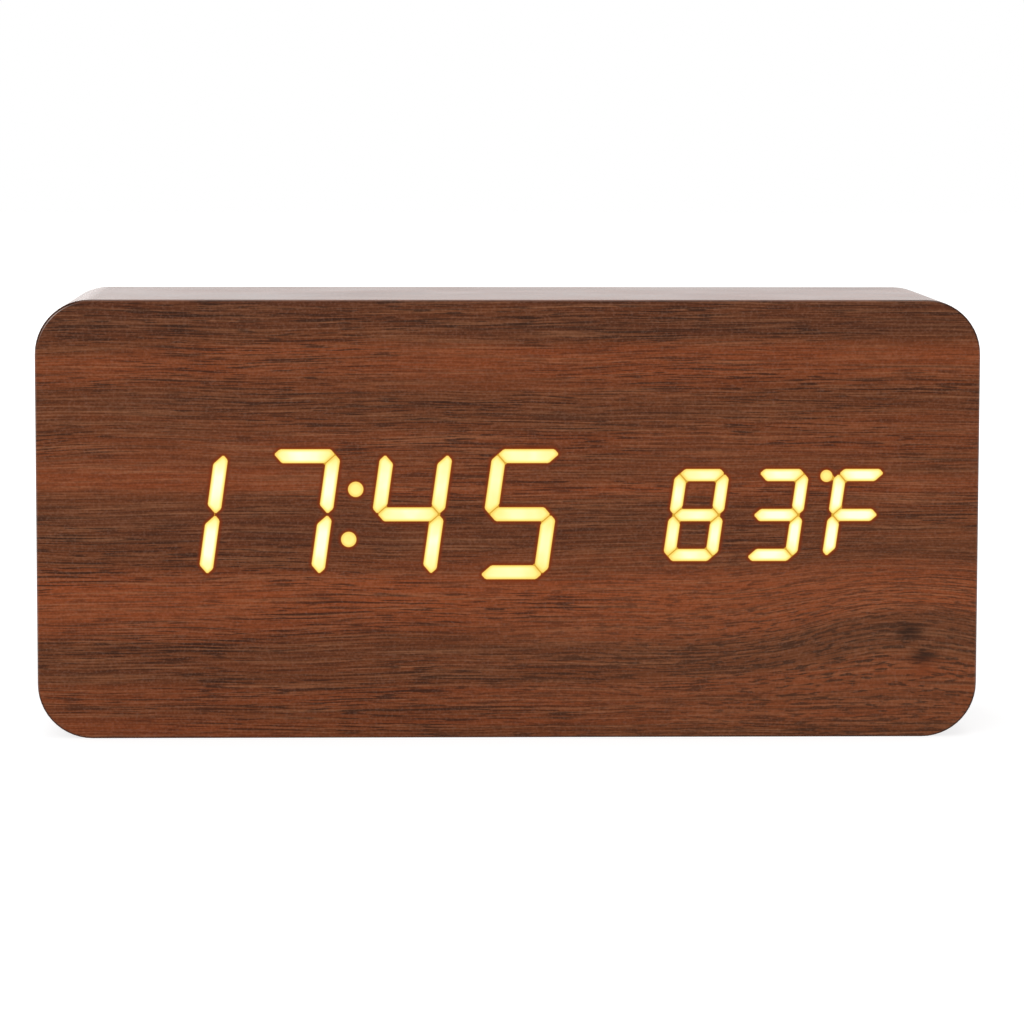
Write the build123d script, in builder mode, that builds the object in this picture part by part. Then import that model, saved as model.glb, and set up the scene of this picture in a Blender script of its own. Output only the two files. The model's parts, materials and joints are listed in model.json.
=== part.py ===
from build123d import *
from math import radians, sqrt, tan
import os

os.makedirs("parts", exist_ok=True)

# A block-shaped desk clock whose leaning seven-bar digits glow through a wood-print film.
# It stands on z = 0 with its face towards -Y, and x = 0 is its middle. Lengths are millimetres.

# Case
case_width = 150.0
case_height = 70.0
case_depth = 45.0
case_radius = 8.7
film = 0.4
film_edge_break = 0.2
front_wall = 8.0
side_rim = 8.0
pocket_radius = 5.0
rabbet_ledge = 4.0
rabbet_radius = 3.5

# Digits of the time, and of the temperature beside it
time_reading = "17:45"
time_digit_height = 20.76
time_digit_width = 11.45
time_stroke = 2.18
time_pitch = 17.78
time_rise = 0.88
time_inset = 2.56
colon_radius = 1.2
colon_spacing = 8.0
temperature_reading = "83F"
temperature_digit_height = 14.69
temperature_digit_width = 8.63
temperature_stroke = 1.9
temperature_pitch = 12.7
temperature_rise = 0.72
temperature_inset = 1.35
degree_radius = 0.945
degree_gap = 0.28
degree_drop = 0.15
lean_angle = 8
bar_gap = 0.2
tip_share = 0.36
glow_corner_cut = 0.18

# Display modules behind the film
shell_margin = 3.5
shell_radius = 0.8
shell_play = 0.2
well_long_share = 0.4
well_broad_share = 0.75
led_side = 0.8
led_height = 0.5
led_chamber_depth = 1.4
board_thickness = 1.6
board_play = 0.5
display_screw_inset = 4.0
display_screw_radius = 1.2
display_screw_length = 6.6
display_screw_head_radius = 2.2
display_screw_head_height = 1.6
screw_play = 0.05
driver_slot_width = 0.7
driver_slot_depth = 0.8

# Parts on the back of the display board
chip_length = 17.9
chip_width = 7.5
chip_height = 2.3
chip_stand_off = 0.2
chip_leg_count = 12
chip_leg_pitch = 1.27
chip_leg_width = 0.45
chip_leg_reach = 1.4
chip_leg_height = 1.1
chip_inset = 28.5
driver_chip_length = 9.9
driver_chip_width = 3.9
driver_chip_height = 1.5
driver_chip_leg_count = 8
driver_chip_spacing = 16.0
driver_chip_inset = 52.5
crystal_length = 11.0
crystal_width = 4.7
crystal_height = 3.5
crystal_flange = 0.5
crystal_flange_height = 0.5
crystal_drop = 9.0
capacitor_radius = 3.15
capacitor_height = 7.7
capacitor_seat_side = 6.8
capacitor_seat_height = 1.2
capacitor_edge_break = 0.5
capacitor_inset = 10.5

# Battery cells and their bay
cell_length = 44.5
cell_diameter = 10.5
cell_count = 3
cell_play = 0.25
cell_pitch = 11.2
contact_room = 3.2
contact_thickness = 0.4
contact_side = 7.6
contact_bow = 2.4
contact_lift = 0.6
plate_dimple_radius = 2.2
plate_dimple_height = 1.6
plate_dimple_tip_radius = 1.5
contact_tab_width = 2.4
contact_tab_reach = 1.2
tab_play = 0.1
tub_wall = 1.5
ridge_rise = 2.4

# Rear cover
cover_thickness = 2.2
cover_sink = 1.5
cover_play = 0.3
cover_edge_break = 0.4
rim_wall = 1.5
rim_depth = 2.0
rim_play = 0.3
cover_screw_inset = 3.2
cover_screw_radius = 1.3
cover_screw_head_radius = 2.4
cover_screw_length = 9.0

# Battery door, hinged on two tabs at its lower edge and held by a tongue at its top
door_thickness = 1.8
door_ledge = 2.0
door_play = 0.3
door_radius = 1.5
door_edge_break = 0.3
collar_wall = 2.0
collar_depth = 1.6
collar_room = 0.9
hinge_tab_width = 7.0
hinge_tab_length = 1.5
hinge_tab_thickness = 1.0
hinge_tab_spacing = 34.0
hinge_lip = 0.6
tongue_width = 10.0
tongue_root = 7.0
tongue_reach = 2.0
tongue_thickness = 0.8
tongue_slot = 1.0
latch_play = 0.15
scoop_width = 14.0
scoop_height = 5.0
scoop_depth = 1.0
grip_rib_count = 4
grip_rib_width = 12.0
grip_rib_height = 0.7
grip_rib_pitch = 1.8
grip_rib_depth = 0.4
grip_rib_drop = 13.0

# Button board and what stands on it
board_room = 2.2
board_head_room = 3.2
wire_room = 8.0
button_board_radius = 1.5
boss_inset = 3.5
boss_radius = 2.5
boss_height = 8.3
board_screw_radius = 0.9
board_screw_length = 7.0
board_screw_head_radius = 1.8
board_screw_head_height = 1.3
button_pitch = 15.0
button_rise = 8.0
switch_side = 6.0
switch_height = 3.5
switch_edge_break = 0.3
plunger_radius = 1.75
plunger_height = 2.5
plunger_sink = 1.0
plunger_well = 1.7
plunger_play = 0.1
cap_radius = 3.5
cap_play = 0.15
cap_proud = 1.2
cap_edge_break = 0.5
cap_flange_radius = 4.5
cap_flange_thickness = 1.0
cap_flange_play = 0.3
cap_stem_radius = 1.5
socket_drop = 9.0
socket_share = 0.3
socket_width = 7.5
socket_height = 2.9
socket_wall = 0.3
socket_sink = 0.8
socket_corner = 0.7
socket_tongue_width = 4.2
socket_tongue_height = 0.7
socket_tongue_sink = 0.9
socket_tongue_rise = 0.3
socket_base = 3.5
socket_play = 0.3
socket_recess_margin = 1.8
socket_recess_depth = 0.7
buzzer_radius = 6.0
buzzer_height = 7.5
buzzer_port_radius = 1.0
buzzer_port_depth = 1.5
buzzer_edge_break = 0.6
sound_hole_radius = 0.8
sound_hole_ring = 3.2
sound_hole_count = 6
microphone_radius = 3.0
microphone_height = 4.5
microphone_stand_off = 1.2
microphone_leg_radius = 0.3
microphone_leg_spacing = 2.5
microphone_felt_radius = 2.2
microphone_felt_depth = 0.3
microphone_hole_radius = 0.75
sensor_rise = 1.0
sensor_radius = 1.2
sensor_edge_break = 0.6
sensor_stand_off = 5.0
sensor_leg_radius = 0.25
sensor_leg_spacing = 1.2
vent_count = 3
vent_length = 10.0
vent_width = 1.2
vent_pitch = 2.3

# Ribbon cable between the boards, and the two battery wires
ribbon_width = 15.0
ribbon_thickness = 0.8
ribbon_bend_share = 0.24
ribbon_rise = 7.0
header_length = 19.0
header_width = 5.8
header_height = 6.0
header_socket_depth = 1.5
ribbon_play = 0.1
wire_radius = 0.6
wire_sides = 8
wire_bend = 2.5
wire_inset = 3.0

# Depths from front to rear, and outlines that follow from the sizes above
middle = case_height / 2
front = -case_depth / 2
rear = case_depth / 2
film_back = front + film
pocket_floor = film_back + front_wall
rim_face = rear - film
cover_face = rear - cover_sink
cover_seat = cover_face - cover_thickness
door_back = cover_face - door_thickness
display_board_rear = pocket_floor + board_thickness

time_digits = time_reading.replace(":", "")
time_shell_width = len(time_digits) * time_pitch
time_shell_height = time_digit_height + 2 * shell_margin
temperature_shell_width = len(temperature_reading) * temperature_pitch
temperature_shell_height = temperature_digit_height + 2 * shell_margin
rabbet_width = case_width - 2 * side_rim
pocket_width = rabbet_width - 2 * rabbet_ledge
time_middle = time_inset + time_shell_width / 2 - pocket_width / 2
temperature_middle = pocket_width / 2 - temperature_inset - temperature_shell_width / 2

cell_room_radius = cell_diameter / 2 + cell_play
bay_length = cell_length + 2 * contact_room
bay_height = cell_count * cell_pitch
door_width = bay_length + 2 * door_ledge
door_height = bay_height + 2 * door_ledge
collar_width = door_width + 2 * door_play + 2 * collar_wall
collar_height = door_height + 2 * door_play + 2 * collar_wall
pocket_height = collar_height + 2 * collar_room
cell_axis = door_back - cell_room_radius
bay_floor = cell_axis - cell_room_radius
bay_middle = pocket_width / 2 - collar_room - collar_width / 2
bay_left = bay_middle - bay_length / 2
tub_left = bay_left - tub_wall

rabbet_height = pocket_height + 2 * rabbet_ledge
display_board_width = pocket_width - 2 * board_play
display_board_height = pocket_height - 2 * board_play
rim_width = pocket_width - 2 * rim_play
rim_height = pocket_height - 2 * rim_play

button_board_rear = cover_seat - boss_height
button_board_front = button_board_rear - board_thickness
button_board_height = rim_height - 2 * rim_wall - 2 * board_head_room
button_board_left = rim_wall + board_room - rim_width / 2
button_board_right = tub_left - wire_room
button_board_width = button_board_right - button_board_left
button_board_middle = (button_board_left + button_board_right) / 2
socket_place = button_board_middle - socket_share * button_board_width
microphone_place = button_board_middle + socket_share * button_board_width
button_places = [button_board_middle + step * button_pitch for step in (-1, 0, 1)]
plunger_top = button_board_rear + switch_height - plunger_sink + plunger_height
cell_rows = [(row - (cell_count - 1) / 2) * cell_pitch for row in range(cell_count)]


def face_plane(depth):
    """A plane across the clock at mid-height. An extrusion from it runs towards the front."""
    return Plane(origin=(0, depth, middle), x_dir=(1, 0, 0), z_dir=(0, -1, 0))


def side_plane(place):
    """A plane square to X at mid-height. Its own X runs to the rear and its Y runs up."""
    return Plane(origin=(place, 0, middle), x_dir=(0, 1, 0), z_dir=(1, 0, 0))


def save(piece, name):
    """Name a finished piece and write it to its own file."""
    piece.part.label = name
    export_step(piece.part, f"parts/{name}.step")


# Outlines of the digits

lit_bars = {"1": "bc", "3": "abcdg", "4": "bcfg", "5": "acdfg", "7": "abc", "8": "abcdefg", "F": "aefg"}


def bar_corners(start, end, level, above, below):
    """Six corners of a bar with pointed ends that runs from start to end at a level."""
    return [
        (start, level),
        (start + above, level + above),
        (end - above, level + above),
        (end, level),
        (end - below, level - below),
        (start + below, level - below),
    ]


def digit_bars(width, height, stroke, long_share=1, broad_share=1):
    """Corners of the seven bars of an upright digit about its centre, named a to g.

    The shares shorten and narrow each bar about its own middle.
    """
    tip = stroke * tip_share
    reach = width / 2 - tip
    top = height / 2 - tip
    gap = bar_gap / sqrt(2)

    def shrunk_bar(start, end, level, above, below):
        centre = (start + end) / 2
        half = (end - start) / 2 * long_share
        return bar_corners(centre - half, centre + half, level, above * broad_share, below * broad_share)

    level_top = shrunk_bar(gap - reach, reach - gap, top, tip, stroke - tip)
    level_middle = shrunk_bar(gap - reach, reach - gap, 0, stroke / 2, stroke / 2)
    upright = [(x, z) for z, x in shrunk_bar(gap, top - gap, reach, tip, stroke - tip)]
    return {
        "a": level_top,
        "b": upright,
        "c": [(x, -z) for x, z in upright],
        "d": [(x, -z) for x, z in level_top],
        "e": [(-x, -z) for x, z in upright],
        "f": [(-x, z) for x, z in upright],
        "g": level_middle,
    }


def leaning(x, z, centre):
    """A point of a digit, set over by the digits' lean and moved to the digit's centre."""
    return (centre[0] + x + z * tan(radians(lean_angle)), centre[1] + z)


def digit_centres(reading, display_middle, pitch, rise):
    """Centres of a display's digits, left to right, on the face's plane."""
    first = display_middle - (len(reading) - 1) / 2 * pitch
    return [(first + place * pitch, rise) for place in range(len(reading))]


def display_bars(display, long_share=1, broad_share=1, lit_only=False):
    """Leaning outlines of a display's bars, all of them or the lit ones alone."""
    outlines = []
    for character, centre in zip(display["reading"], display["centres"]):
        bars = digit_bars(display["width"], display["height"], display["stroke"], long_share, broad_share)
        for name, corners in bars.items():
            if name in lit_bars[character] or not lit_only:
                outlines.append([leaning(x, z, centre) for x, z in corners])
    return outlines


time_display = {
    "reading": time_digits,
    "width": time_digit_width,
    "height": time_digit_height,
    "stroke": time_stroke,
    "centres": digit_centres(time_digits, time_middle, time_pitch, time_rise),
    "dots": [leaning(0, side * colon_spacing / 2, (time_middle, time_rise)) for side in (-1, 1)],
    "dot_radius": colon_radius,
}
temperature_centres = digit_centres(
    temperature_reading, temperature_middle, temperature_pitch, temperature_rise
)
degree_x = -(temperature_digit_width / 2 + degree_gap + degree_radius)
degree_z = temperature_digit_height / 2 - degree_drop - degree_radius
temperature_display = {
    "reading": temperature_reading,
    "width": temperature_digit_width,
    "height": temperature_digit_height,
    "stroke": temperature_stroke,
    "centres": temperature_centres,
    "dots": [leaning(degree_x, degree_z, temperature_centres[-1])],
    "dot_radius": degree_radius,
}
displays = (time_display, temperature_display)


def draw_lit_areas():
    """Draw the lit bars and dots of both displays, with the bars' corners cut off."""
    for display in displays:
        for corners in display_bars(display, lit_only=True):
            Polygon(*corners, align=None)
    chamfer(vertices(), length=glow_corner_cut)
    for display in displays:
        with Locations(*display["dots"]):
            Circle(display["dot_radius"])


# Wood-print film: a sheet on the front, with the lit areas let into it, and a rim at the rear

with BuildPart() as glowing_digits:
    with BuildSketch(face_plane(film_back)):
        draw_lit_areas()
    extrude(amount=film)
save(glowing_digits, "glowing_digits")

with BuildPart() as front_veneer:
    with BuildSketch(face_plane(film_back)):
        RectangleRounded(case_width, case_height, case_radius)
    extrude(amount=film)
    chamfer(faces().sort_by(Axis.Y)[0].edges(), length=film_edge_break)
    add(glowing_digits.part, mode=Mode.SUBTRACT)
save(front_veneer, "front_veneer")

with BuildPart() as rear_veneer:
    with BuildSketch(face_plane(rear)):
        RectangleRounded(case_width, case_height, case_radius)
        RectangleRounded(rabbet_width, rabbet_height, rabbet_radius, mode=Mode.SUBTRACT)
    extrude(amount=film)
    outer_edges = faces().sort_by(Axis.Y)[-1].outer_wire().edges()
    chamfer(outer_edges, length=film_edge_break)
save(rear_veneer, "rear_veneer")

# Case: a block with a pocket from the rear, a ledge for the cover and two display windows

display_screw_spread = (
    display_board_width - 2 * display_screw_inset,
    display_board_height - 2 * display_screw_inset,
)
cover_screw_spread = (
    rabbet_width - 2 * cover_screw_inset,
    rabbet_height - 2 * cover_screw_inset,
)
display_screw_hole_depth = display_screw_length - board_thickness + screw_play
cover_screw_hole_depth = cover_screw_length - cover_thickness + screw_play

with BuildPart() as case_body:
    with BuildSketch(face_plane(rim_face)):
        RectangleRounded(case_width, case_height, case_radius)
    extrude(amount=rim_face - film_back)
    with BuildSketch(face_plane(rim_face)):
        RectangleRounded(rabbet_width, rabbet_height, rabbet_radius)
    extrude(amount=rim_face - cover_seat, mode=Mode.SUBTRACT)
    with BuildSketch(face_plane(cover_seat)):
        RectangleRounded(pocket_width, pocket_height, pocket_radius)
    extrude(amount=cover_seat - pocket_floor, mode=Mode.SUBTRACT)
    with BuildSketch(face_plane(pocket_floor)):
        with Locations((time_middle, time_rise)):
            RectangleRounded(
                time_shell_width + 2 * shell_play, time_shell_height + 2 * shell_play, shell_radius
            )
        with Locations((temperature_middle, temperature_rise)):
            RectangleRounded(
                temperature_shell_width + 2 * shell_play,
                temperature_shell_height + 2 * shell_play,
                shell_radius,
            )
    extrude(amount=front_wall, mode=Mode.SUBTRACT)
    with BuildSketch(face_plane(pocket_floor)):
        with GridLocations(*display_screw_spread, 2, 2):
            Circle(display_screw_radius + screw_play)
    extrude(amount=display_screw_hole_depth, mode=Mode.SUBTRACT)
    with BuildSketch(face_plane(cover_seat)):
        with GridLocations(*cover_screw_spread, 2, 2):
            Circle(cover_screw_radius + screw_play)
    extrude(amount=cover_screw_hole_depth, mode=Mode.SUBTRACT)
save(case_body, "case_body")

# Display modules: a reflector block with a funnel behind each bar, and clear resin in the funnels

resin_back = pocket_floor - led_chamber_depth


def funnel(broad_end, narrow_end):
    """A flat-sided funnel between an outline at the film's back and a smaller one behind it."""
    near = [face_plane(film_back).from_local_coords((x, z, 0)) for x, z in broad_end]
    far = [face_plane(resin_back).from_local_coords((x, z, 0)) for x, z in narrow_end]
    sides = [
        Face(Wire.make_polygon([near[i - 1], near[i], far[i], far[i - 1]])) for i in range(len(near))
    ]
    ends = [Face(Wire.make_polygon(near)), Face(Wire.make_polygon(far))]
    return Solid(Shell(sides + ends))


def resin_fill(display):
    """Resin in every funnel of a display, from the film's back to the light chambers."""
    broad_ends = display_bars(display)
    narrow_ends = display_bars(display, well_long_share, well_broad_share)
    with BuildPart() as fill:
        for broad_end, narrow_end in zip(broad_ends, narrow_ends):
            add(funnel(broad_end, narrow_end))
        with Locations(face_plane(resin_back)):
            with Locations(*display["dots"]):
                Cone(
                    display["dot_radius"] * well_broad_share,
                    display["dot_radius"],
                    resin_back - film_back,
                    align=(Align.CENTER, Align.CENTER, Align.MIN),
                )
    return fill


def reflector_block(display, fill, centre, width, height):
    """The block round a display's resin, with a small chamber behind each funnel."""
    with BuildPart() as block:
        with BuildSketch(face_plane(pocket_floor)):
            with Locations(centre):
                RectangleRounded(width, height, shell_radius)
        extrude(amount=front_wall)
        add(fill.part, mode=Mode.SUBTRACT)
        with BuildSketch(face_plane(pocket_floor)):
            for narrow_end in display_bars(display, well_long_share, well_broad_share):
                Polygon(*narrow_end, align=None)
            with Locations(*display["dots"]):
                Circle(display["dot_radius"] * well_broad_share)
        extrude(amount=led_chamber_depth, mode=Mode.SUBTRACT)
    return block


time_segment_windows = resin_fill(time_display)
save(time_segment_windows, "time_segment_windows")
time_display_shell = reflector_block(
    time_display,
    time_segment_windows,
    (time_middle, time_rise),
    time_shell_width,
    time_shell_height,
)
save(time_display_shell, "time_display_shell")

temperature_segment_windows = resin_fill(temperature_display)
save(temperature_segment_windows, "temperature_segment_windows")
temperature_display_shell = reflector_block(
    temperature_display,
    temperature_segment_windows,
    (temperature_middle, temperature_rise),
    temperature_shell_width,
    temperature_shell_height,
)
save(temperature_display_shell, "temperature_display_shell")


def middle_of(corners):
    """The middle of an outline's corners."""
    return (sum(x for x, z in corners) / len(corners), sum(z for x, z in corners) / len(corners))


with BuildPart() as segment_leds:
    with BuildSketch(face_plane(pocket_floor)):
        for display in displays:
            led_places = [middle_of(corners) for corners in display_bars(display)]
            with Locations(*led_places, *display["dots"]):
                Rectangle(led_side, led_side)
    extrude(amount=led_height)
save(segment_leds, "segment_leds")

# Display board, screwed to the back of the front wall


def driver_slots(radius):
    """Draw a cross for a screwdriver, as wide as a screw's head."""
    Rectangle(radius, driver_slot_width)
    Rectangle(driver_slot_width, radius)


with BuildPart() as display_board:
    with BuildSketch(face_plane(display_board_rear)):
        RectangleRounded(display_board_width, display_board_height, pocket_radius - board_play)
        with GridLocations(*display_screw_spread, 2, 2):
            Circle(display_screw_radius + screw_play, mode=Mode.SUBTRACT)
    extrude(amount=board_thickness)
save(display_board, "display_board")

with BuildPart() as display_board_screws:
    display_screw_head_face = display_board_rear + display_screw_head_height
    with BuildSketch(face_plane(display_screw_head_face)):
        with GridLocations(*display_screw_spread, 2, 2):
            Circle(display_screw_head_radius)
    extrude(amount=display_screw_head_height)
    with BuildSketch(face_plane(display_board_rear)):
        with GridLocations(*display_screw_spread, 2, 2):
            Circle(display_screw_radius)
    extrude(amount=display_screw_length)
    with BuildSketch(face_plane(display_screw_head_face)):
        with GridLocations(*display_screw_spread, 2, 2):
            driver_slots(2 * display_screw_head_radius - driver_slot_width)
    extrude(amount=driver_slot_depth, mode=Mode.SUBTRACT)
save(display_board_screws, "display_board_screws")


def chip(places, length, width, height, leg_count):
    """Moulded chips on the back of the display board, each with legs along two sides."""
    legs_a_side = leg_count // 2
    with BuildPart() as chips:
        with BuildSketch(face_plane(display_board_rear + chip_stand_off + height)):
            with Locations(*places):
                Rectangle(length, width)
        extrude(amount=height)
        leg_rows = [(x, z + side * width / 2) for x, z in places for side in (-1, 1)]
        with BuildSketch(face_plane(display_board_rear + chip_leg_height)):
            for row in leg_rows:
                with Locations(row):
                    with GridLocations(chip_leg_pitch, 0, legs_a_side, 1):
                        Rectangle(chip_leg_width, 2 * chip_leg_reach)
        extrude(amount=chip_leg_height)
    return chips


chip_place = display_board_width / 2 - chip_inset
controller_chip = chip([(chip_place, 0)], chip_length, chip_width, chip_height, chip_leg_count)
save(controller_chip, "controller_chip")

driver_chip_place = display_board_width / 2 - driver_chip_inset
driver_chip_places = [(driver_chip_place, side * driver_chip_spacing / 2) for side in (-1, 1)]
driver_chips = chip(
    driver_chip_places,
    driver_chip_length,
    driver_chip_width,
    driver_chip_height,
    driver_chip_leg_count,
)
save(driver_chips, "driver_chips")

with BuildPart() as clock_crystal:
    with BuildSketch(face_plane(display_board_rear + crystal_flange_height)):
        with Locations((chip_place, -crystal_drop)):
            SlotOverall(crystal_length + 2 * crystal_flange, crystal_width + 2 * crystal_flange)
    extrude(amount=crystal_flange_height)
    with BuildSketch(face_plane(display_board_rear + crystal_height)):
        with Locations((chip_place, -crystal_drop)):
            SlotOverall(crystal_length, crystal_width)
    extrude(amount=crystal_height - crystal_flange_height)
save(clock_crystal, "clock_crystal")

with BuildPart() as smoothing_capacitor:
    capacitor_place = capacitor_inset - display_board_width / 2
    with BuildSketch(face_plane(display_board_rear + capacitor_seat_height)):
        with Locations((capacitor_place, 0)):
            Rectangle(capacitor_seat_side, capacitor_seat_side)
    extrude(amount=capacitor_seat_height)
    with BuildSketch(face_plane(display_board_rear + capacitor_seat_height + capacitor_height)):
        with Locations((capacitor_place, 0)):
            Circle(capacitor_radius)
    extrude(amount=capacitor_height)
    chamfer(faces().sort_by(Axis.Y)[-1].edges(), length=capacitor_edge_break)
save(smoothing_capacitor, "smoothing_capacitor")

# Rear cover: a flanged plate with a locating rim, a battery tub and four board bosses

tub_floor_front = bay_floor - tub_wall
ridge_top = bay_floor + ridge_rise
boss_spread = (button_board_width - 2 * boss_inset, button_board_height - 2 * boss_inset)
board_screw_hole_depth = board_screw_length - board_thickness + screw_play
door_edge = door_height / 2
hinge_swing = sqrt(door_thickness**2 + hinge_tab_length**2)
tab_reach = tub_wall + contact_tab_reach
tab_offset = (contact_side - contact_tab_width) / 2
left_tab_height = cell_rows[0] + tab_offset
right_tab_height = cell_rows[-1] + tab_offset
socket_mouth = cover_face - socket_sink


def draw_socket_outline(margin, mode=Mode.ADD):
    """Draw the power socket's outline, wide at the top with its lower corners cut off."""
    half_width = socket_width / 2 + margin
    half_height = socket_height / 2 + margin
    Polygon(
        (-half_width, half_height),
        (half_width, half_height),
        (half_width, socket_corner - half_height),
        (half_width - socket_corner, -half_height),
        (socket_corner - half_width, -half_height),
        (-half_width, socket_corner - half_height),
        align=None,
        mode=mode,
    )


with BuildPart() as rear_cover:
    with BuildSketch(face_plane(cover_face)):
        RectangleRounded(
            rabbet_width - 2 * cover_play, rabbet_height - 2 * cover_play, rabbet_radius - cover_play
        )
    extrude(amount=cover_thickness)
    chamfer(faces().sort_by(Axis.Y)[-1].edges(), length=cover_edge_break)

    # Locating rim, door frame, battery tub and board bosses
    with BuildSketch(face_plane(cover_seat)):
        RectangleRounded(rim_width, rim_height, pocket_radius - rim_play)
        RectangleRounded(
            rim_width - 2 * rim_wall,
            rim_height - 2 * rim_wall,
            pocket_radius - rim_play - rim_wall,
            mode=Mode.SUBTRACT,
        )
    extrude(amount=rim_depth)
    with BuildSketch(face_plane(cover_seat)):
        with Locations((bay_middle, 0)):
            RectangleRounded(collar_width, collar_height, door_radius + door_play + collar_wall)
    extrude(amount=collar_depth)
    with BuildSketch(face_plane(cover_seat)):
        with Locations((bay_middle, 0)):
            RectangleRounded(bay_length + 2 * tub_wall, bay_height + 2 * tub_wall, tub_wall)
    extrude(amount=cover_seat - tub_floor_front)
    with BuildSketch(face_plane(cover_seat)):
        with Locations((button_board_middle, 0)):
            with GridLocations(*boss_spread, 2, 2):
                Circle(boss_radius)
    extrude(amount=cover_seat - button_board_rear)

    # Seat of the door, and the bay with a trough for each cell
    with BuildSketch(face_plane(cover_face)):
        with Locations((bay_middle, 0)):
            RectangleRounded(
                door_width + 2 * door_play, door_height + 2 * door_play, door_radius + door_play
            )
    extrude(amount=door_thickness, mode=Mode.SUBTRACT)
    with BuildSketch(side_plane(bay_left)):
        with Locations(((ridge_top + door_back) / 2, 0)):
            Rectangle(door_back - ridge_top, bay_height)
        with Locations(*[(cell_axis, row) for row in cell_rows]):
            Circle(cell_room_radius)
    extrude(amount=bay_length, mode=Mode.SUBTRACT)

    # Slots for the contact tabs through the ends of the tub
    for place, row in ((bay_left - tub_wall, left_tab_height), (bay_left + bay_length, right_tab_height)):
        with BuildSketch(side_plane(place)):
            with Locations((cell_axis, row)):
                Rectangle(contact_thickness + 2 * tab_play, contact_tab_width + 2 * tab_play)
        extrude(amount=tub_wall, mode=Mode.SUBTRACT)

    # Pockets for the hinge tabs, the latch tongue and the fingertip
    notch_low = -door_edge - hinge_tab_length - door_play
    notch_high = -bay_height / 2
    with BuildSketch(face_plane(cover_face - hinge_lip)):
        with Locations((bay_middle, (notch_low + notch_high) / 2)):
            with GridLocations(hinge_tab_spacing, 0, 2, 1):
                Rectangle(hinge_tab_width + 2 * door_play, notch_high - notch_low)
    extrude(amount=hinge_swing + door_play - hinge_lip, mode=Mode.SUBTRACT)
    with BuildSketch(face_plane(cover_face)):
        with Locations((bay_middle, door_edge + (tongue_reach + latch_play) / 2)):
            Rectangle(tongue_width + 2 * door_play, tongue_reach + latch_play)
    extrude(amount=door_thickness, mode=Mode.SUBTRACT)
    with BuildSketch(face_plane(cover_face)):
        with Locations((bay_middle, door_edge + door_play)):
            SlotOverall(scoop_width, 2 * scoop_height)
    extrude(amount=scoop_depth, mode=Mode.SUBTRACT)

    # Openings over the buttons, the socket, the buzzer, the microphone and the sensor
    with BuildSketch(face_plane(cover_face)):
        with Locations(*[(place, button_rise) for place in button_places]):
            Circle(cap_radius + cap_play)
        with Locations((button_board_middle, -socket_drop)):
            Circle(sound_hole_radius)
            with PolarLocations(sound_hole_ring, sound_hole_count):
                Circle(sound_hole_radius)
        with Locations((microphone_place, -socket_drop)):
            Circle(microphone_hole_radius)
        with Locations((button_board_middle, sensor_rise)):
            with GridLocations(0, vent_pitch, 1, vent_count):
                SlotOverall(vent_length, vent_width)
        with Locations((socket_place, -socket_drop)):
            draw_socket_outline(socket_play)
    extrude(amount=cover_thickness, mode=Mode.SUBTRACT)
    with BuildSketch(face_plane(cover_face)):
        with Locations((socket_place, -socket_drop)):
            RectangleRounded(
                socket_width + 2 * socket_recess_margin,
                socket_height + 2 * socket_recess_margin,
                socket_recess_margin,
            )
    extrude(amount=socket_recess_depth, mode=Mode.SUBTRACT)

    # Screw holes
    with Locations(Plane(origin=(0, cover_face, middle), x_dir=(-1, 0, 0), z_dir=(0, 1, 0))):
        with GridLocations(*cover_screw_spread, 2, 2):
            CounterSinkHole(
                radius=cover_screw_radius + screw_play,
                counter_sink_radius=cover_screw_head_radius + screw_play,
                counter_sink_angle=90,
            )
    with BuildSketch(face_plane(button_board_rear + board_screw_hole_depth)):
        with Locations((button_board_middle, 0)):
            with GridLocations(*boss_spread, 2, 2):
                Circle(board_screw_radius + screw_play)
    extrude(amount=board_screw_hole_depth, mode=Mode.SUBTRACT)
save(rear_cover, "rear_cover")

with BuildPart() as cover_screws:
    with BuildSketch(face_plane(cover_face)):
        with GridLocations(*cover_screw_spread, 2, 2):
            Circle(cover_screw_head_radius)
    extrude(amount=cover_screw_head_radius - cover_screw_radius, taper=45)
    with BuildSketch(face_plane(cover_face)):
        with GridLocations(*cover_screw_spread, 2, 2):
            Circle(cover_screw_radius)
    extrude(amount=cover_screw_length)
    with BuildSketch(face_plane(cover_face)):
        with GridLocations(*cover_screw_spread, 2, 2):
            driver_slots(2 * cover_screw_radius)
    extrude(amount=driver_slot_depth, mode=Mode.SUBTRACT)
save(cover_screws, "cover_screws")

# Battery door, with hinge tabs below, a sprung tongue above and grooves for the thumb

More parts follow.
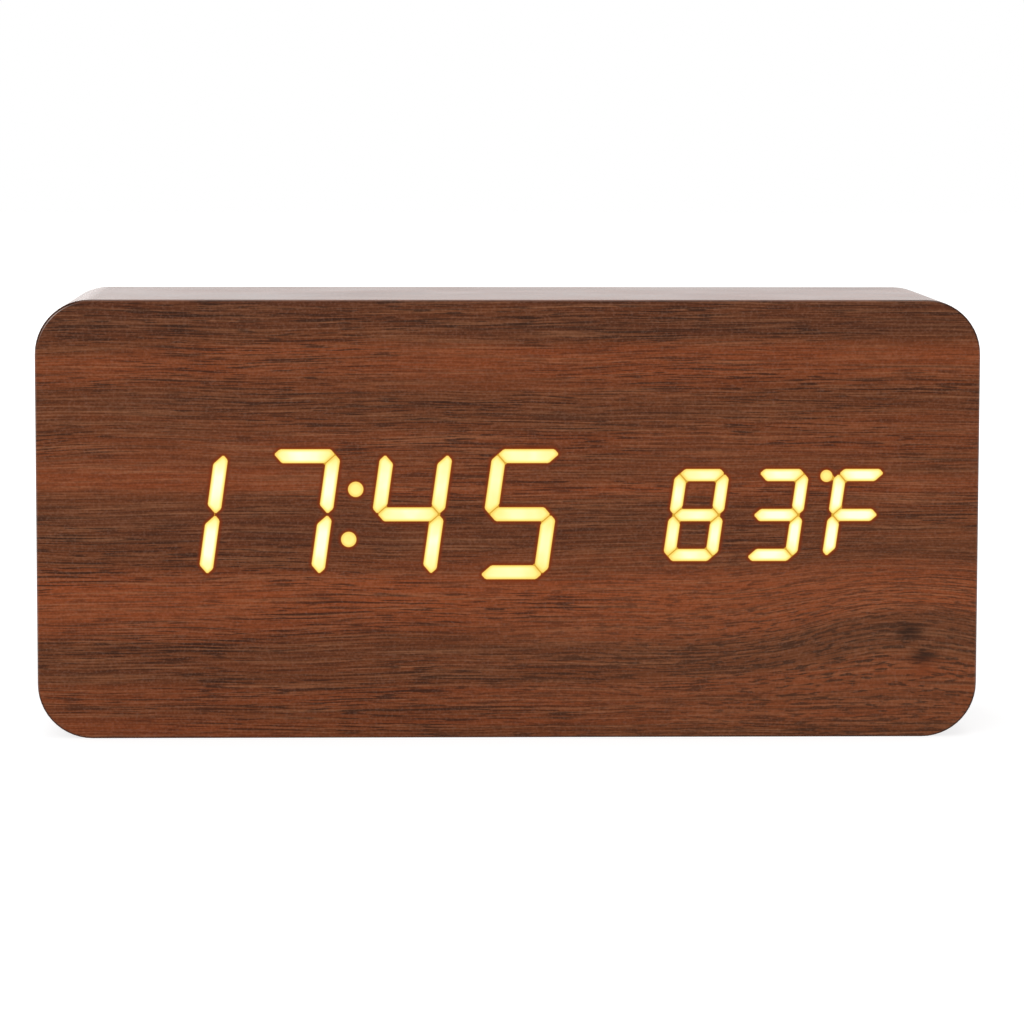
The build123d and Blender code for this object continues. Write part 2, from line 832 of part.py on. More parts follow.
with BuildPart() as battery_door:
    with BuildSketch(face_plane(cover_face)):
        with Locations((bay_middle, 0)):
            RectangleRounded(door_width, door_height, door_radius)
    extrude(amount=door_thickness)
    chamfer(faces().sort_by(Axis.Y)[-1].edges(), length=door_edge_break)
    with BuildSketch(face_plane(cover_face)):
        with Locations((bay_middle, door_edge - tongue_root / 2)):
            with GridLocations(tongue_width + tongue_slot, 0, 2, 1):
                Rectangle(tongue_slot, tongue_root)
    extrude(amount=door_thickness, mode=Mode.SUBTRACT)
    with BuildSketch(face_plane(door_back + tongue_thickness)):
        with Locations((bay_middle, door_edge + (tongue_reach - tongue_thickness) / 2)):
            Rectangle(tongue_width, tongue_reach + tongue_thickness)
    extrude(amount=tongue_thickness)
    with BuildSketch(face_plane(door_back + hinge_tab_thickness)):
        with Locations((bay_middle, -door_edge - (hinge_tab_length - hinge_tab_thickness) / 2)):
            with GridLocations(hinge_tab_spacing, 0, 2, 1):
                Rectangle(hinge_tab_width, hinge_tab_length + hinge_tab_thickness)
    extrude(amount=hinge_tab_thickness)
    with BuildSketch(face_plane(cover_face)):
        with Locations((bay_middle, door_edge - grip_rib_drop)):
            with GridLocations(0, grip_rib_pitch, 1, grip_rib_count):
                SlotOverall(grip_rib_width, grip_rib_height)
    extrude(amount=grip_rib_depth, mode=Mode.SUBTRACT)
save(battery_door, "battery_door")

# Battery contacts: sprung leaves and dimpled plates at alternate ends of the cells

contact_ends = []
for step, row in enumerate(cell_rows):
    spring_end = 1 if step % 2 == 0 else -1
    contact_ends.append((row, spring_end))


def contact_wall(towards):
    """Place of the bay's end wall from which a contact points in a direction along X."""
    return bay_middle - towards * bay_length / 2


def draw_contact_tab(row, towards):
    """Draw the solder tab that runs from a contact out through the end of the tub."""
    with Locations((contact_wall(towards) - towards * tab_reach / 2, cell_axis)):
        Rectangle(tab_reach, contact_thickness)


with BuildPart() as battery_springs:
    for row, towards in contact_ends:
        wall = contact_wall(towards)
        with BuildSketch(Plane.XY.offset(middle + row - contact_side / 2)):
            with Locations((wall + towards * contact_thickness / 2, cell_axis)):
                Rectangle(contact_thickness, contact_side)
            with BuildLine():
                ThreePointArc(
                    (wall + towards * contact_thickness, cell_axis + contact_side / 2 - contact_lift),
                    (wall + towards * contact_bow, cell_axis),
                    (wall + towards * contact_lift, cell_axis - contact_side / 2 + contact_lift),
                )
            trace(line_width=contact_thickness)
        extrude(amount=contact_side)
    with BuildSketch(Plane.XY.offset(middle + left_tab_height - contact_tab_width / 2)):
        draw_contact_tab(cell_rows[0], 1)
    extrude(amount=contact_tab_width)
save(battery_springs, "battery_springs")

with BuildPart() as battery_plates:
    for row, spring_towards in contact_ends:
        towards = -spring_towards
        wall = contact_wall(towards)
        with BuildSketch(side_plane(wall)):
            with Locations((cell_axis, row)):
                Rectangle(contact_side, contact_side)
        extrude(amount=towards * contact_thickness)
        dimple_base = (wall + towards * contact_thickness, cell_axis, middle + row)
        with Locations(Location(dimple_base, (0, towards * 90, 0))):
            Cone(
                plate_dimple_radius,
                plate_dimple_tip_radius,
                plate_dimple_height,
                align=(Align.CENTER, Align.CENTER, Align.MIN),
            )
    with BuildSketch(Plane.XY.offset(middle + right_tab_height - contact_tab_width / 2)):
        draw_contact_tab(cell_rows[-1], -1)
    extrude(amount=contact_tab_width)
save(battery_plates, "battery_plates")

# Wires from the two end contacts to the button board

wire_landing = button_board_right - wire_inset
wire_turn = (button_board_right + tub_left) / 2
wire_lane = (bay_height / 2 + tub_wall + pocket_height / 2) / 2
left_tab_end = tub_left - contact_tab_reach
right_tab_side = bay_left + bay_length + tub_wall + contact_tab_reach / 2
right_tab_top = right_tab_height + contact_tab_width / 2
negative_route = [
    (left_tab_end, cell_axis, middle + left_tab_height),
    (wire_landing, cell_axis, middle + left_tab_height),
    (wire_landing, button_board_rear, middle + left_tab_height),
]
positive_route = [
    (right_tab_side, cell_axis, middle + right_tab_top),
    (right_tab_side, cell_axis, middle + wire_lane),
    (wire_turn, cell_axis, middle + wire_lane),
    (wire_turn, cell_axis, middle - left_tab_height),
    (wire_landing, cell_axis, middle - left_tab_height),
    (wire_landing, button_board_rear, middle - left_tab_height),
]


def wire(route):
    """A wire along a route, with its corners bent."""
    with BuildPart() as strand:
        with BuildLine() as path:
            FilletPolyline(*route, radius=wire_bend)
        start = path.line @ 0
        with BuildSketch(Plane(origin=start, z_dir=path.line % 0)):
            RegularPolygon(wire_radius, wire_sides)
        sweep()
    return strand


negative_wire = wire(negative_route)
save(negative_wire, "negative_wire")
positive_wire = wire(positive_route)
save(positive_wire, "positive_wire")

# Button board, on the cover's bosses

with BuildPart() as button_board:
    with BuildSketch(face_plane(button_board_rear)):
        with Locations((button_board_middle, 0)):
            RectangleRounded(button_board_width, button_board_height, button_board_radius)
            with GridLocations(*boss_spread, 2, 2):
                Circle(board_screw_radius + screw_play, mode=Mode.SUBTRACT)
    extrude(amount=board_thickness)
save(button_board, "button_board")

with BuildPart() as button_board_screws:
    screw_tip = button_board_front + board_screw_length
    with BuildSketch(face_plane(screw_tip)):
        with Locations((button_board_middle, 0)):
            with GridLocations(*boss_spread, 2, 2):
                Circle(board_screw_radius)
    extrude(amount=board_screw_length)
    with BuildSketch(face_plane(button_board_front)):
        with Locations((button_board_middle, 0)):
            with GridLocations(*boss_spread, 2, 2):
                Circle(board_screw_head_radius)
    extrude(amount=board_screw_head_height)
    with BuildSketch(face_plane(button_board_front - board_screw_head_height + driver_slot_depth)):
        with Locations((button_board_middle, 0)):
            with GridLocations(*boss_spread, 2, 2):
                driver_slots(2 * board_screw_head_radius - driver_slot_width)
    extrude(amount=driver_slot_depth, mode=Mode.SUBTRACT)
save(button_board_screws, "button_board_screws")

# Push switches, their plungers and the buttons over them

switch_top = button_board_rear + switch_height
flange_rear = cover_seat - cap_flange_play
flange_front = flange_rear - cap_flange_thickness

with BuildPart() as switch_bodies:
    with BuildSketch(face_plane(switch_top)):
        with Locations(*[(place, button_rise) for place in button_places]):
            Rectangle(switch_side, switch_side)
    extrude(amount=switch_height)
    chamfer(faces().group_by(Axis.Y)[-1].edges(), length=switch_edge_break)
    with BuildSketch(face_plane(switch_top)):
        with Locations(*[(place, button_rise) for place in button_places]):
            Circle(plunger_radius + plunger_play)
    extrude(amount=plunger_well, mode=Mode.SUBTRACT)
save(switch_bodies, "switch_bodies")

for button_name, place in zip(("set", "up", "down"), button_places):
    with BuildPart() as plunger:
        with BuildSketch(face_plane(plunger_top)):
            with Locations((place, button_rise)):
                Circle(plunger_radius)
        extrude(amount=plunger_height)
    save(plunger, f"{button_name}_plunger")

    with BuildPart() as button:
        with BuildSketch(face_plane(cover_face + cap_proud)):
            with Locations((place, button_rise)):
                Circle(cap_radius)
        extrude(amount=cover_face + cap_proud - flange_front)
        chamfer(faces().sort_by(Axis.Y)[-1].edges(), length=cap_edge_break)
        with BuildSketch(face_plane(flange_rear)):
            with Locations((place, button_rise)):
                Circle(cap_flange_radius)
        extrude(amount=cap_flange_thickness)
        with BuildSketch(face_plane(flange_front)):
            with Locations((place, button_rise)):
                Circle(cap_stem_radius)
        extrude(amount=flange_front - plunger_top)
    save(button, f"{button_name}_button")

# Power socket: a folded shell round an insulator with a tongue

with BuildPart() as power_socket_shell:
    with BuildSketch(face_plane(socket_mouth)):
        with Locations((socket_place, -socket_drop)):
            draw_socket_outline(0)
            draw_socket_outline(-socket_wall, mode=Mode.SUBTRACT)
    extrude(amount=socket_mouth - button_board_rear)
save(power_socket_shell, "power_socket_shell")

with BuildPart() as power_socket_insert:
    with BuildSketch(face_plane(button_board_rear + socket_base)):
        with Locations((socket_place, -socket_drop)):
            draw_socket_outline(-socket_wall)
    extrude(amount=socket_base)
    with BuildSketch(face_plane(socket_mouth - socket_tongue_sink)):
        with Locations((socket_place, socket_tongue_rise - socket_drop)):
            Rectangle(socket_tongue_width, socket_tongue_height)
    extrude(amount=socket_mouth - socket_tongue_sink - button_board_rear)
save(power_socket_insert, "power_socket_insert")

# Buzzer, microphone and temperature sensor

with BuildPart() as buzzer:
    buzzer_top = button_board_rear + buzzer_height
    with BuildSketch(face_plane(buzzer_top)):
        with Locations((button_board_middle, -socket_drop)):
            Circle(buzzer_radius)
    extrude(amount=buzzer_height)
    chamfer(faces().sort_by(Axis.Y)[-1].edges(), length=buzzer_edge_break)
    with BuildSketch(face_plane(buzzer_top)):
        with Locations((button_board_middle, -socket_drop)):
            Circle(buzzer_port_radius)
    extrude(amount=buzzer_port_depth, mode=Mode.SUBTRACT)
save(buzzer, "buzzer")

with BuildPart() as microphone:
    microphone_top = button_board_rear + microphone_stand_off + microphone_height
    with BuildSketch(face_plane(microphone_top)):
        with Locations((microphone_place, -socket_drop)):
            Circle(microphone_radius)
    extrude(amount=microphone_height)
    with BuildSketch(face_plane(microphone_top)):
        with Locations((microphone_place, -socket_drop)):
            Circle(microphone_felt_radius)
    extrude(amount=microphone_felt_depth, mode=Mode.SUBTRACT)
    with BuildSketch(face_plane(button_board_rear + microphone_stand_off)):
        with Locations((microphone_place, -socket_drop)):
            with GridLocations(microphone_leg_spacing, 0, 2, 1):
                Circle(microphone_leg_radius)
    extrude(amount=microphone_stand_off)
save(microphone, "microphone")

with BuildPart() as temperature_sensor:
    with BuildSketch(face_plane(button_board_rear + sensor_stand_off + 2 * sensor_radius)):
        with Locations((button_board_middle, sensor_rise)):
            Circle(sensor_radius)
    extrude(amount=2 * sensor_radius)
    bead_ends = faces().filter_by(Axis.Y)
    chamfer(bead_ends.edges(), length=sensor_edge_break)
    with BuildSketch(face_plane(button_board_rear + sensor_stand_off)):
        with Locations((button_board_middle, sensor_rise)):
            with GridLocations(sensor_leg_spacing, 0, 2, 1):
                Circle(sensor_leg_radius)
    extrude(amount=sensor_stand_off)
save(temperature_sensor, "temperature_sensor")

# Ribbon cable between a header on each board


def header(seat, towards, height):
    """A header on a board's face, with a socket for the ribbon's end."""
    far_face = seat + towards * header_height
    socket_face = max(far_face, far_face - towards * header_socket_depth)
    with BuildPart() as housing:
        with BuildSketch(face_plane(max(seat, far_face))):
            with Locations((button_board_middle, height)):
                Rectangle(header_length, header_width)
        extrude(amount=header_height)
        with BuildSketch(face_plane(socket_face)):
            with Locations((button_board_middle, height)):
                Rectangle(ribbon_width + 2 * ribbon_play, ribbon_thickness + 2 * ribbon_play)
        extrude(amount=header_socket_depth, mode=Mode.SUBTRACT)
    return housing


display_header = header(display_board_rear, 1, -ribbon_rise)
save(display_header, "display_header")
button_header = header(button_board_front, -1, ribbon_rise)
save(button_header, "button_header")

ribbon_start = display_board_rear + header_height - header_socket_depth
ribbon_end = button_board_front - header_height + header_socket_depth
ribbon_middle = (ribbon_start + ribbon_end) / 2
ribbon_bend = ribbon_bend_share * (ribbon_end - ribbon_start)

with BuildPart() as link_cable:
    with BuildSketch(side_plane(button_board_middle - ribbon_width / 2)):
        with BuildLine():
            FilletPolyline(
                (ribbon_start, -ribbon_rise),
                (ribbon_middle, -ribbon_rise),
                (ribbon_middle, ribbon_rise),
                (ribbon_end, ribbon_rise),
                radius=ribbon_bend,
            )
        trace(line_width=ribbon_thickness)
    extrude(amount=ribbon_width)
save(link_cable, "link_cable")
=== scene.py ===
# %% [markdown]
# # A wooden block clock with digits that glow through its skin
#
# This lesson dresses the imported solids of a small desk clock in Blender. The real clock is a block of
# fibreboard wrapped in a thin walnut-print film. Light modules behind the front shine through the film,
# so the time seems to float on bare wood. Behind it is a black plastic cover with a battery door,
# three buttons and a power socket.
#
# Every length in the lesson is in metres, and `MM` turns the millimetres of a drawing into them.

# %% Load the solids that everything else is fitted to
import json
from math import cos, pi, radians, sin

import bmesh
import bpy
from mathutils import Matrix, Vector
from mathutils.bvhtree import BVHTree
from mathutils.geometry import delaunay_2d_cdt


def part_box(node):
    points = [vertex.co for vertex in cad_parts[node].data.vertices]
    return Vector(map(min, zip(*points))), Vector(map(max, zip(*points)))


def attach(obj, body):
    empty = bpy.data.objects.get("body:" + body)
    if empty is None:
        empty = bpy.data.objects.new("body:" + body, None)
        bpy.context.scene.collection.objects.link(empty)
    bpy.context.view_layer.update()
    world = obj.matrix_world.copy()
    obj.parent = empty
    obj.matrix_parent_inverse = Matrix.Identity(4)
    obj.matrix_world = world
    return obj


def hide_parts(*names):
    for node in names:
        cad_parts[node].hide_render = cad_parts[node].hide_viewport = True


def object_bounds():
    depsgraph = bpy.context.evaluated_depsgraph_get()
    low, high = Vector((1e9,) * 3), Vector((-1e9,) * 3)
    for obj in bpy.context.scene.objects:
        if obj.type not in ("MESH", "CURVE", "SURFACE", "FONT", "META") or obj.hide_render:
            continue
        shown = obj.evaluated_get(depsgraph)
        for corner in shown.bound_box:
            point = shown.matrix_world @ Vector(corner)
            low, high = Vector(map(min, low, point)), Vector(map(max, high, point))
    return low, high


MM = 0.001

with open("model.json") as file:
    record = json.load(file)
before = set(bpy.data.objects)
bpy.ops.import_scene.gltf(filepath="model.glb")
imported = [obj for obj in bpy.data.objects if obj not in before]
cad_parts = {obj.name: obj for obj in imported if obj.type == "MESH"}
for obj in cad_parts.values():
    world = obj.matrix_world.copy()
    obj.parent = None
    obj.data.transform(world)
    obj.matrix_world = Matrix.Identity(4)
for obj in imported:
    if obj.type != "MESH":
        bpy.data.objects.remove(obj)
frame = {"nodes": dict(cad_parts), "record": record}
nodes = frame["nodes"]
cad_low, cad_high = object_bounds()
case_size = cad_high - cad_low
front_face = cad_low.y
print("solids:", len(nodes), "size in mm:", [round(side / MM, 1) for side in case_size])

# %% [markdown]
# ## The camera
#
# A product photograph like this one is taken with a long lens from a little above the table, so the
# front stays almost a rectangle and the top is a thin strip. The place and the small turns below come
# from fitting the four corners of the block, and the lens follows from how large it stands in a square
# picture. Blender takes a lens and a sensor in millimetres, so those two are plain numbers.

# %% Place the camera and choose its lens
camera_place = Vector((-18.07, -680.53, 101.90)) * MM
camera_turn = radians(1.619)
camera_drop = radians(5.696)
camera_roll = radians(0.106)
LENS = 146.16
SENSOR_WIDTH = 36

ahead = cos(camera_drop)
forward = Vector((sin(camera_turn) * ahead, cos(camera_turn) * ahead, -sin(camera_drop)))
level_right = Vector((cos(camera_turn), -sin(camera_turn), 0))
level_up = level_right.cross(forward)
right = cos(camera_roll) * level_right + sin(camera_roll) * level_up
up = cos(camera_roll) * level_up - sin(camera_roll) * level_right

camera_data = bpy.data.cameras.new("camera")
camera_data.lens = LENS
camera_data.sensor_width = SENSOR_WIDTH
camera = bpy.data.objects.new("camera", camera_data)
turn = Matrix((right, up, -forward)).transposed().to_4x4()
camera.matrix_world = Matrix.Translation(camera_place) @ turn
bpy.context.scene.collection.objects.link(camera)
bpy.context.scene.camera = camera
bpy.context.scene.view_settings.view_transform = "Standard"
print("camera is", round(camera_place.length, 3), "m from the foot of the clock")

# %% [markdown]
# ## Building materials with nodes
#
# A material is a small network of nodes. A few short helpers keep each recipe readable. `node` adds a
# node and fills its inputs, each with a number or with another node's output. `maths` does a sum on
# numbers or outputs, and the sums that come up most have names of their own.

# %% Helpers that add a node or do a sum


def node(tree, kind, inputs=(), **settings):
    """Add a node. Inputs are pairs of a socket's name or number and a value or an output."""
    made = tree.nodes.new(kind)
    for name, value in settings.items():
        setattr(made, name, value)
    for socket, value in inputs:
        if isinstance(value, bpy.types.NodeSocket):
            tree.links.new(value, made.inputs[socket])
        else:
            made.inputs[socket].default_value = value
    return made


def maths(tree, operation, first, second=0.0):
    """The result of a sum on two numbers or outputs."""
    return node(tree, "ShaderNodeMath", [(0, first), (1, second)], operation=operation).outputs[0]


def times(tree, first, second):
    """Two numbers or outputs multiplied."""
    return maths(tree, "MULTIPLY", first, second)


def plus(tree, first, second):
    """Two numbers or outputs added."""
    return maths(tree, "ADD", first, second)


def minus(tree, first, second):
    """The first number or output less the second."""
    return maths(tree, "SUBTRACT", first, second)


def swing(tree, pattern, width):
    """A pattern from 0 to 1 moved to lie about zero, and stretched to a width."""
    return times(tree, minus(tree, pattern, 0.5), width)


print("helpers for nodes and sums are ready")

# %% [markdown]
# `noise` gives a cloudy pattern that is stretched by a scale for each direction, `ramp` turns a pattern
# into colours, and `blend` lays one colour over another. A colour is written as a picture holds it, and
# `srgb` turns it into the light that Blender works with.

# %% Helpers for patterns and colours


def noise(tree, vector, scale, detail=2.0, roughness=0.5, offset=(0, 0, 0)):
    """A cloudy pattern from 0 to 1, with so many spots to the metre along each direction."""
    stretched = node(tree, "ShaderNodeMapping", [("Vector", vector), ("Scale", scale), ("Location", offset)])
    made = node(
        tree,
        "ShaderNodeTexNoise",
        [("Vector", stretched.outputs[0]), ("Scale", 1.0), ("Detail", detail), ("Roughness", roughness)],
    )
    return made.outputs[0]


def ramp(tree, factor, stops):
    """Colours for a pattern. Each stop is a place from 0 to 1 and a colour or a grey."""
    made = node(tree, "ShaderNodeValToRGB", [(0, factor)])
    elements = made.color_ramp.elements
    while len(elements) < len(stops):
        elements.new(1.0)
    for element, (place, colour) in zip(elements, stops):
        element.position = place
        element.color = (*colour, 1) if isinstance(colour, tuple) else (colour, colour, colour, 1)
    return made.outputs[0]


def blend(tree, factor, first, second, mode="MIX"):
    """One colour mixed into another."""
    made = node(tree, "ShaderNodeMix", data_type="RGBA", blend_type=mode)
    for socket, value in ((0, factor), (6, first), (7, second)):
        if isinstance(value, bpy.types.NodeSocket):
            tree.links.new(value, made.inputs[socket])
        else:
            made.inputs[socket].default_value = (*value, 1) if isinstance(value, tuple) else value
    return made.outputs[2]


def srgb(red, green, blue):
    """A colour as a picture holds it, from 0 to 255, turned into the light that it stands for."""
    shares = (red / 255, green / 255, blue / 255)
    return tuple(share / 12.92 if share <= 0.04045 else ((share + 0.055) / 1.055) ** 2.4 for share in shares)


print("the middle grey of a picture is", round(srgb(128, 128, 128)[0], 3), "of white light")

# %% [markdown]
# Each material starts as one Principled shader. Its patterns read the place of a point on its piece, in
# metres, so that a grain has its real size, and a bump gives that grain its real depth.

# %% Helpers that start a material


def empty_material(name):
    """A material with no nodes yet. Returns the material and its tree."""
    material = bpy.data.materials.new(name)
    material.use_nodes = True
    material.node_tree.nodes.clear()
    return material, material.node_tree


def new_material(name):
    """A material with its shader alone. Returns the material, its tree and the shader."""
    material, tree = empty_material(name)
    shader = node(tree, "ShaderNodeBsdfPrincipled")
    node(tree, "ShaderNodeOutputMaterial", [(0, shader.outputs[0])])
    return material, tree, shader


def object_place(tree):
    """The place of a point on a piece, in metres."""
    return node(tree, "ShaderNodeTexCoord").outputs["Object"]


def bump(tree, shader, height, depth):
    """Raise and sink the surface by a pattern, as deep as given in metres."""
    made = node(tree, "ShaderNodeBump", [("Height", height), ("Distance", depth), ("Strength", 1.0)])
    tree.links.new(made.outputs[0], shader.inputs["Normal"])


print("a material can be started")

# %% [markdown]
# ## Walnut print
#
# Walnut is told by things of many sizes. Broad bands drift from dark brown to red brown, thin streaks
# follow them, and pale fibres lie between. Over these come long dark lines and shorter dashes, which
# gather in busy patches, then short pores, and last fine specks: dark ones, and pale grey ones that are
# painted glints of the sheen. All are the same kind of noise, stretched along the grain by a different
# amount each, and the specks hardly at all. This cell makes the colour that lies below, and says how
# dark the lines, dashes and pores over it are.

# %% Layers of the walnut figure
DARK_WALNUT = srgb(91, 47, 24)
MID_WALNUT = srgb(105, 54, 26)
RED_WALNUT = srgb(128, 62, 29)
BRIGHT_WALNUT = srgb(140, 68, 32)
PALE_WALNUT = srgb(160, 106, 72)
PORE_AND_SHADE_BROWN = srgb(38, 19, 9)
GLINT_SPECK_GREY = srgb(172, 132, 112)
HUES = [(0.22, DARK_WALNUT), (0.48, MID_WALNUT), (0.74, RED_WALNUT), (1.0, BRIGHT_WALNUT)]
BROAD_SHARE = 0.75
STREAK_SHARE = 0.42
BAND_ZERO = 0.12


def walnut_ground(tree, wavy, band):
    """Bands, streaks and pale fibres: the colour under the dark marks."""
    broad = noise(tree, wavy, (7, 160, 7), detail=3.0, roughness=0.6)
    streak = noise(tree, wavy, (14, 620, 14), detail=4.0, roughness=0.6)
    fibre = noise(tree, wavy, (40, 3200, 40), detail=2.0, roughness=0.7, offset=(8, 1, 4))
    redness = plus(tree, times(tree, broad, BROAD_SHARE), minus(tree, band, BAND_ZERO))
    redness = plus(tree, redness, swing(tree, streak, STREAK_SHARE))
    pale = ramp(tree, fibre, [(0.47, 0.0), (0.68, 0.46)])
    return blend(tree, pale, ramp(tree, redness, HUES), PALE_WALNUT)


def walnut_marks(tree, wavy, pore_share):
    """How dark each point is under lines, dashes and pores, from 0 to 1."""
    lines = noise(tree, wavy, (50, 2600, 50), detail=2.0, roughness=0.6, offset=(3, 7, 1))
    dashes = noise(tree, wavy, (180, 3600, 180), detail=1.0)
    pores = noise(tree, wavy, (420, 3600, 420), detail=1.0, offset=(2, 8, 5))
    patches = noise(tree, wavy, (25, 190, 25), detail=2.0, offset=(5, 2, 9))
    busy = ramp(tree, patches, [(0.35, 0.35), (0.60, 1.0)])
    line_amount = times(tree, ramp(tree, lines, [(0.56, 0.0), (0.63, 0.80)]), busy)
    dash_amount = times(tree, ramp(tree, dashes, [(0.55, 0.0), (0.63, 0.75)]), busy)
    pore_amount = times(tree, ramp(tree, pores, [(0.54, 0.0), (0.64, 0.8)]), pore_share)
    return maths(tree, "MAXIMUM", maths(tree, "MAXIMUM", line_amount, dash_amount), pore_amount)


print("walnut runs through", len(HUES), "hues")

# %% [markdown]
# A slow noise pushes the grain up and down, so that no line is quite straight. The whole figure is kept
# in a node group, because the front, the wrap round the sides and the rear rim share it. The group asks
# for a place, for how red the wood is there, and for how many pores it has.

# %% Make the walnut figure once, as a node group
GRAIN_DRIFT = 3 * MM


def new_group(name, kind, inputs, outputs):
    """A node group with named sockets. Returns its tree and the node that holds its inputs."""
    tree = bpy.data.node_groups.new(name, kind)
    for way, sockets in (("INPUT", inputs), ("OUTPUT", outputs)):
        for socket, sort in sockets.items():
            tree.interface.new_socket(socket, in_out=way, socket_type="NodeSocket" + sort)
    return tree, node(tree, "NodeGroupInput")


def walnut_group():
    """Node group: a place along, across and through the grain gives a colour and a height."""
    tree, source = new_group(
        "walnut figure",
        "ShaderNodeTree",
        {"Place": "Vector", "Band": "Float", "Pores": "Float"},
        {"Colour": "Color", "Height": "Float"},
    )
    place = source.outputs["Place"]
    drift = noise(tree, place, (18, 60, 18), detail=2.0)
    lift = node(tree, "ShaderNodeCombineXYZ", [("Y", swing(tree, drift, GRAIN_DRIFT))]).outputs[0]
    wavy = node(tree, "ShaderNodeVectorMath", [(0, place), (1, lift)], operation="ADD").outputs[0]
    dark = walnut_marks(tree, wavy, source.outputs["Pores"])
    colour = blend(tree, dark, walnut_ground(tree, wavy, source.outputs["Band"]), PORE_AND_SHADE_BROWN)
    # The pale grey specks are painted glints of the sheen; the dark ones are fine dark flecks.
    specks = noise(tree, place, (2600, 2900, 2600), detail=1.0, offset=(6, 3, 8))
    colour = blend(tree, ramp(tree, specks, [(0.50, 0.0), (0.80, 0.13)]), colour, GLINT_SPECK_GREY)
    colour = blend(tree, ramp(tree, specks, [(0.20, 0.28), (0.50, 0.0)]), colour, PORE_AND_SHADE_BROWN)
    node(tree, "NodeGroupOutput", [("Colour", colour), ("Height", minus(tree, 1.0, dark))])
    return tree


walnut_figure = walnut_group()
print("walnut figure has", len(walnut_figure.nodes), "nodes")

# %% [markdown]
# ## Film on the front
#
# The film on the front has features at places of their own: a pair of knots, a corner with more pores,
# rubbed edges. So its material asks two things of a point. How near it is to a place is a bell curve
# along X times one along Z, which has no hard rim. How deep it lies inside the outline, a rectangle with
# round corners, is what the edges follow.

# %% Helpers that find a place on the front
CORNER = 8.7 * MM
BELL_BASE = 2.718


def past_straights(tree, x, z):
    """How far a point lies past the ends of the outline's level and upright sides, in metres."""
    from_middle = maths(tree, "ABSOLUTE", minus(tree, z, case_size.z / 2))
    out_x = minus(tree, maths(tree, "ABSOLUTE", x), case_size.x / 2 - CORNER)
    return out_x, minus(tree, from_middle, case_size.z / 2 - CORNER)


def depth_under_outline(tree, x, z):
    """How far a point lies inside the rounded outline of the case, in metres."""
    out_x, out_z = past_straights(tree, x, z)
    square_x = maths(tree, "POWER", maths(tree, "MAXIMUM", out_x, 0.0), 2.0)
    square_z = maths(tree, "POWER", maths(tree, "MAXIMUM", out_z, 0.0), 2.0)
    beyond = maths(tree, "SQRT", plus(tree, square_x, square_z))
    within = maths(tree, "MINIMUM", maths(tree, "MAXIMUM", out_x, out_z), 0.0)
    return minus(tree, CORNER, plus(tree, beyond, within))


def bell(tree, value, centre, width):
    """One at a centre and falling to nothing on both sides, over about twice the width."""
    offset = maths(tree, "DIVIDE", minus(tree, value, centre), width)
    square = times(tree, offset, offset)
    return maths(tree, "POWER", BELL_BASE, times(tree, square, -1.0))


def soft_spot(tree, x, z, place, width, reach):
    """One at a place on the front, falling to nothing over a width along X and a reach along Z."""
    return times(tree, bell(tree, x, place.x, width), bell(tree, z, place.y, reach))


print("the outline is", round(case_size.x / MM), "by", round(case_size.z / MM), "mm")

# %% [markdown]
# On the front the grain runs level. Its broad bands are listed at chosen heights, because the eye
# knows a piece of wood by them, and the grain swells over a small pair of knots low on the right. The
# swelling is a bell curve that lifts the lines, strongest near the knots and gone at the edges. Round
# them the wood is a little paler and has more pores.

# %% Bands, swelling and pores of the front
HUMP_PLACE = Vector((64, 19)) * MM
HUMP_WIDTH = 20 * MM
HUMP_REACH = 10 * MM
HUMP_RISE = 4.6 * MM
BAND_DRIFT = 6 * MM
PLAIN_PORES = 0.3
POROUS_PLACE = Vector((55, 12)) * MM
POROUS_WIDTH = 48 * MM
POROUS_REACH = 16 * MM
POROUS_PORES = 0.8
POROUS_PALENESS = 0.10
LOW_BANDS = [(0.0, 0.24), (0.035, 0.50), (0.075, 0.38), (0.12, 0.50), (0.16, 0.17), (0.215, 0.20)]
MIDDLE_BANDS = [(0.26, 0.64), (0.335, 0.78), (0.38, 0.36), (0.42, 0.18), (0.50, 0.18), (0.575, 0.46)]
HIGH_BANDS = [(0.62, 0.28), (0.70, 0.30), (0.76, 0.22), (0.82, 0.32), (0.875, 0.54), (0.93, 0.0)]
BAND_STOPS = LOW_BANDS + MIDDLE_BANDS + HIGH_BANDS


def front_figure(tree, x, y, z):
    """The walnut figure as it lies on the front. Returns its colour and its height."""
    hump = soft_spot(tree, x, z, HUMP_PLACE, HUMP_WIDTH, HUMP_REACH)
    level = minus(tree, z, times(tree, hump, HUMP_RISE))
    place = node(tree, "ShaderNodeCombineXYZ", [(0, x), (1, level), (2, y)]).outputs[0]
    drift = noise(tree, place, (14, 60, 0), detail=2.0, offset=(1, 4, 2))
    warped = plus(tree, level, swing(tree, drift, BAND_DRIFT))
    band = ramp(tree, maths(tree, "DIVIDE", warped, case_size.z), BAND_STOPS)
    porous = soft_spot(tree, x, z, POROUS_PLACE, POROUS_WIDTH, POROUS_REACH)
    pores = plus(tree, times(tree, porous, POROUS_PORES), PLAIN_PORES)
    inputs = [("Place", place), ("Band", band), ("Pores", pores)]
    figure = node(tree, "ShaderNodeGroup", inputs, node_tree=walnut_figure).outputs
    paleness = times(tree, porous, POROUS_PALENESS)
    return blend(tree, paleness, figure["Colour"], PALE_WALNUT), figure["Height"]


print("bands of the front, in mm up:", [round(place * case_size.z / MM) for place, _ in BAND_STOPS])

# %% [markdown]
# A knot is the foot of a branch, darker or redder than the wood round it. At this size it is a soft spot
# of colour, wider than it is high, because the grain flows round it.

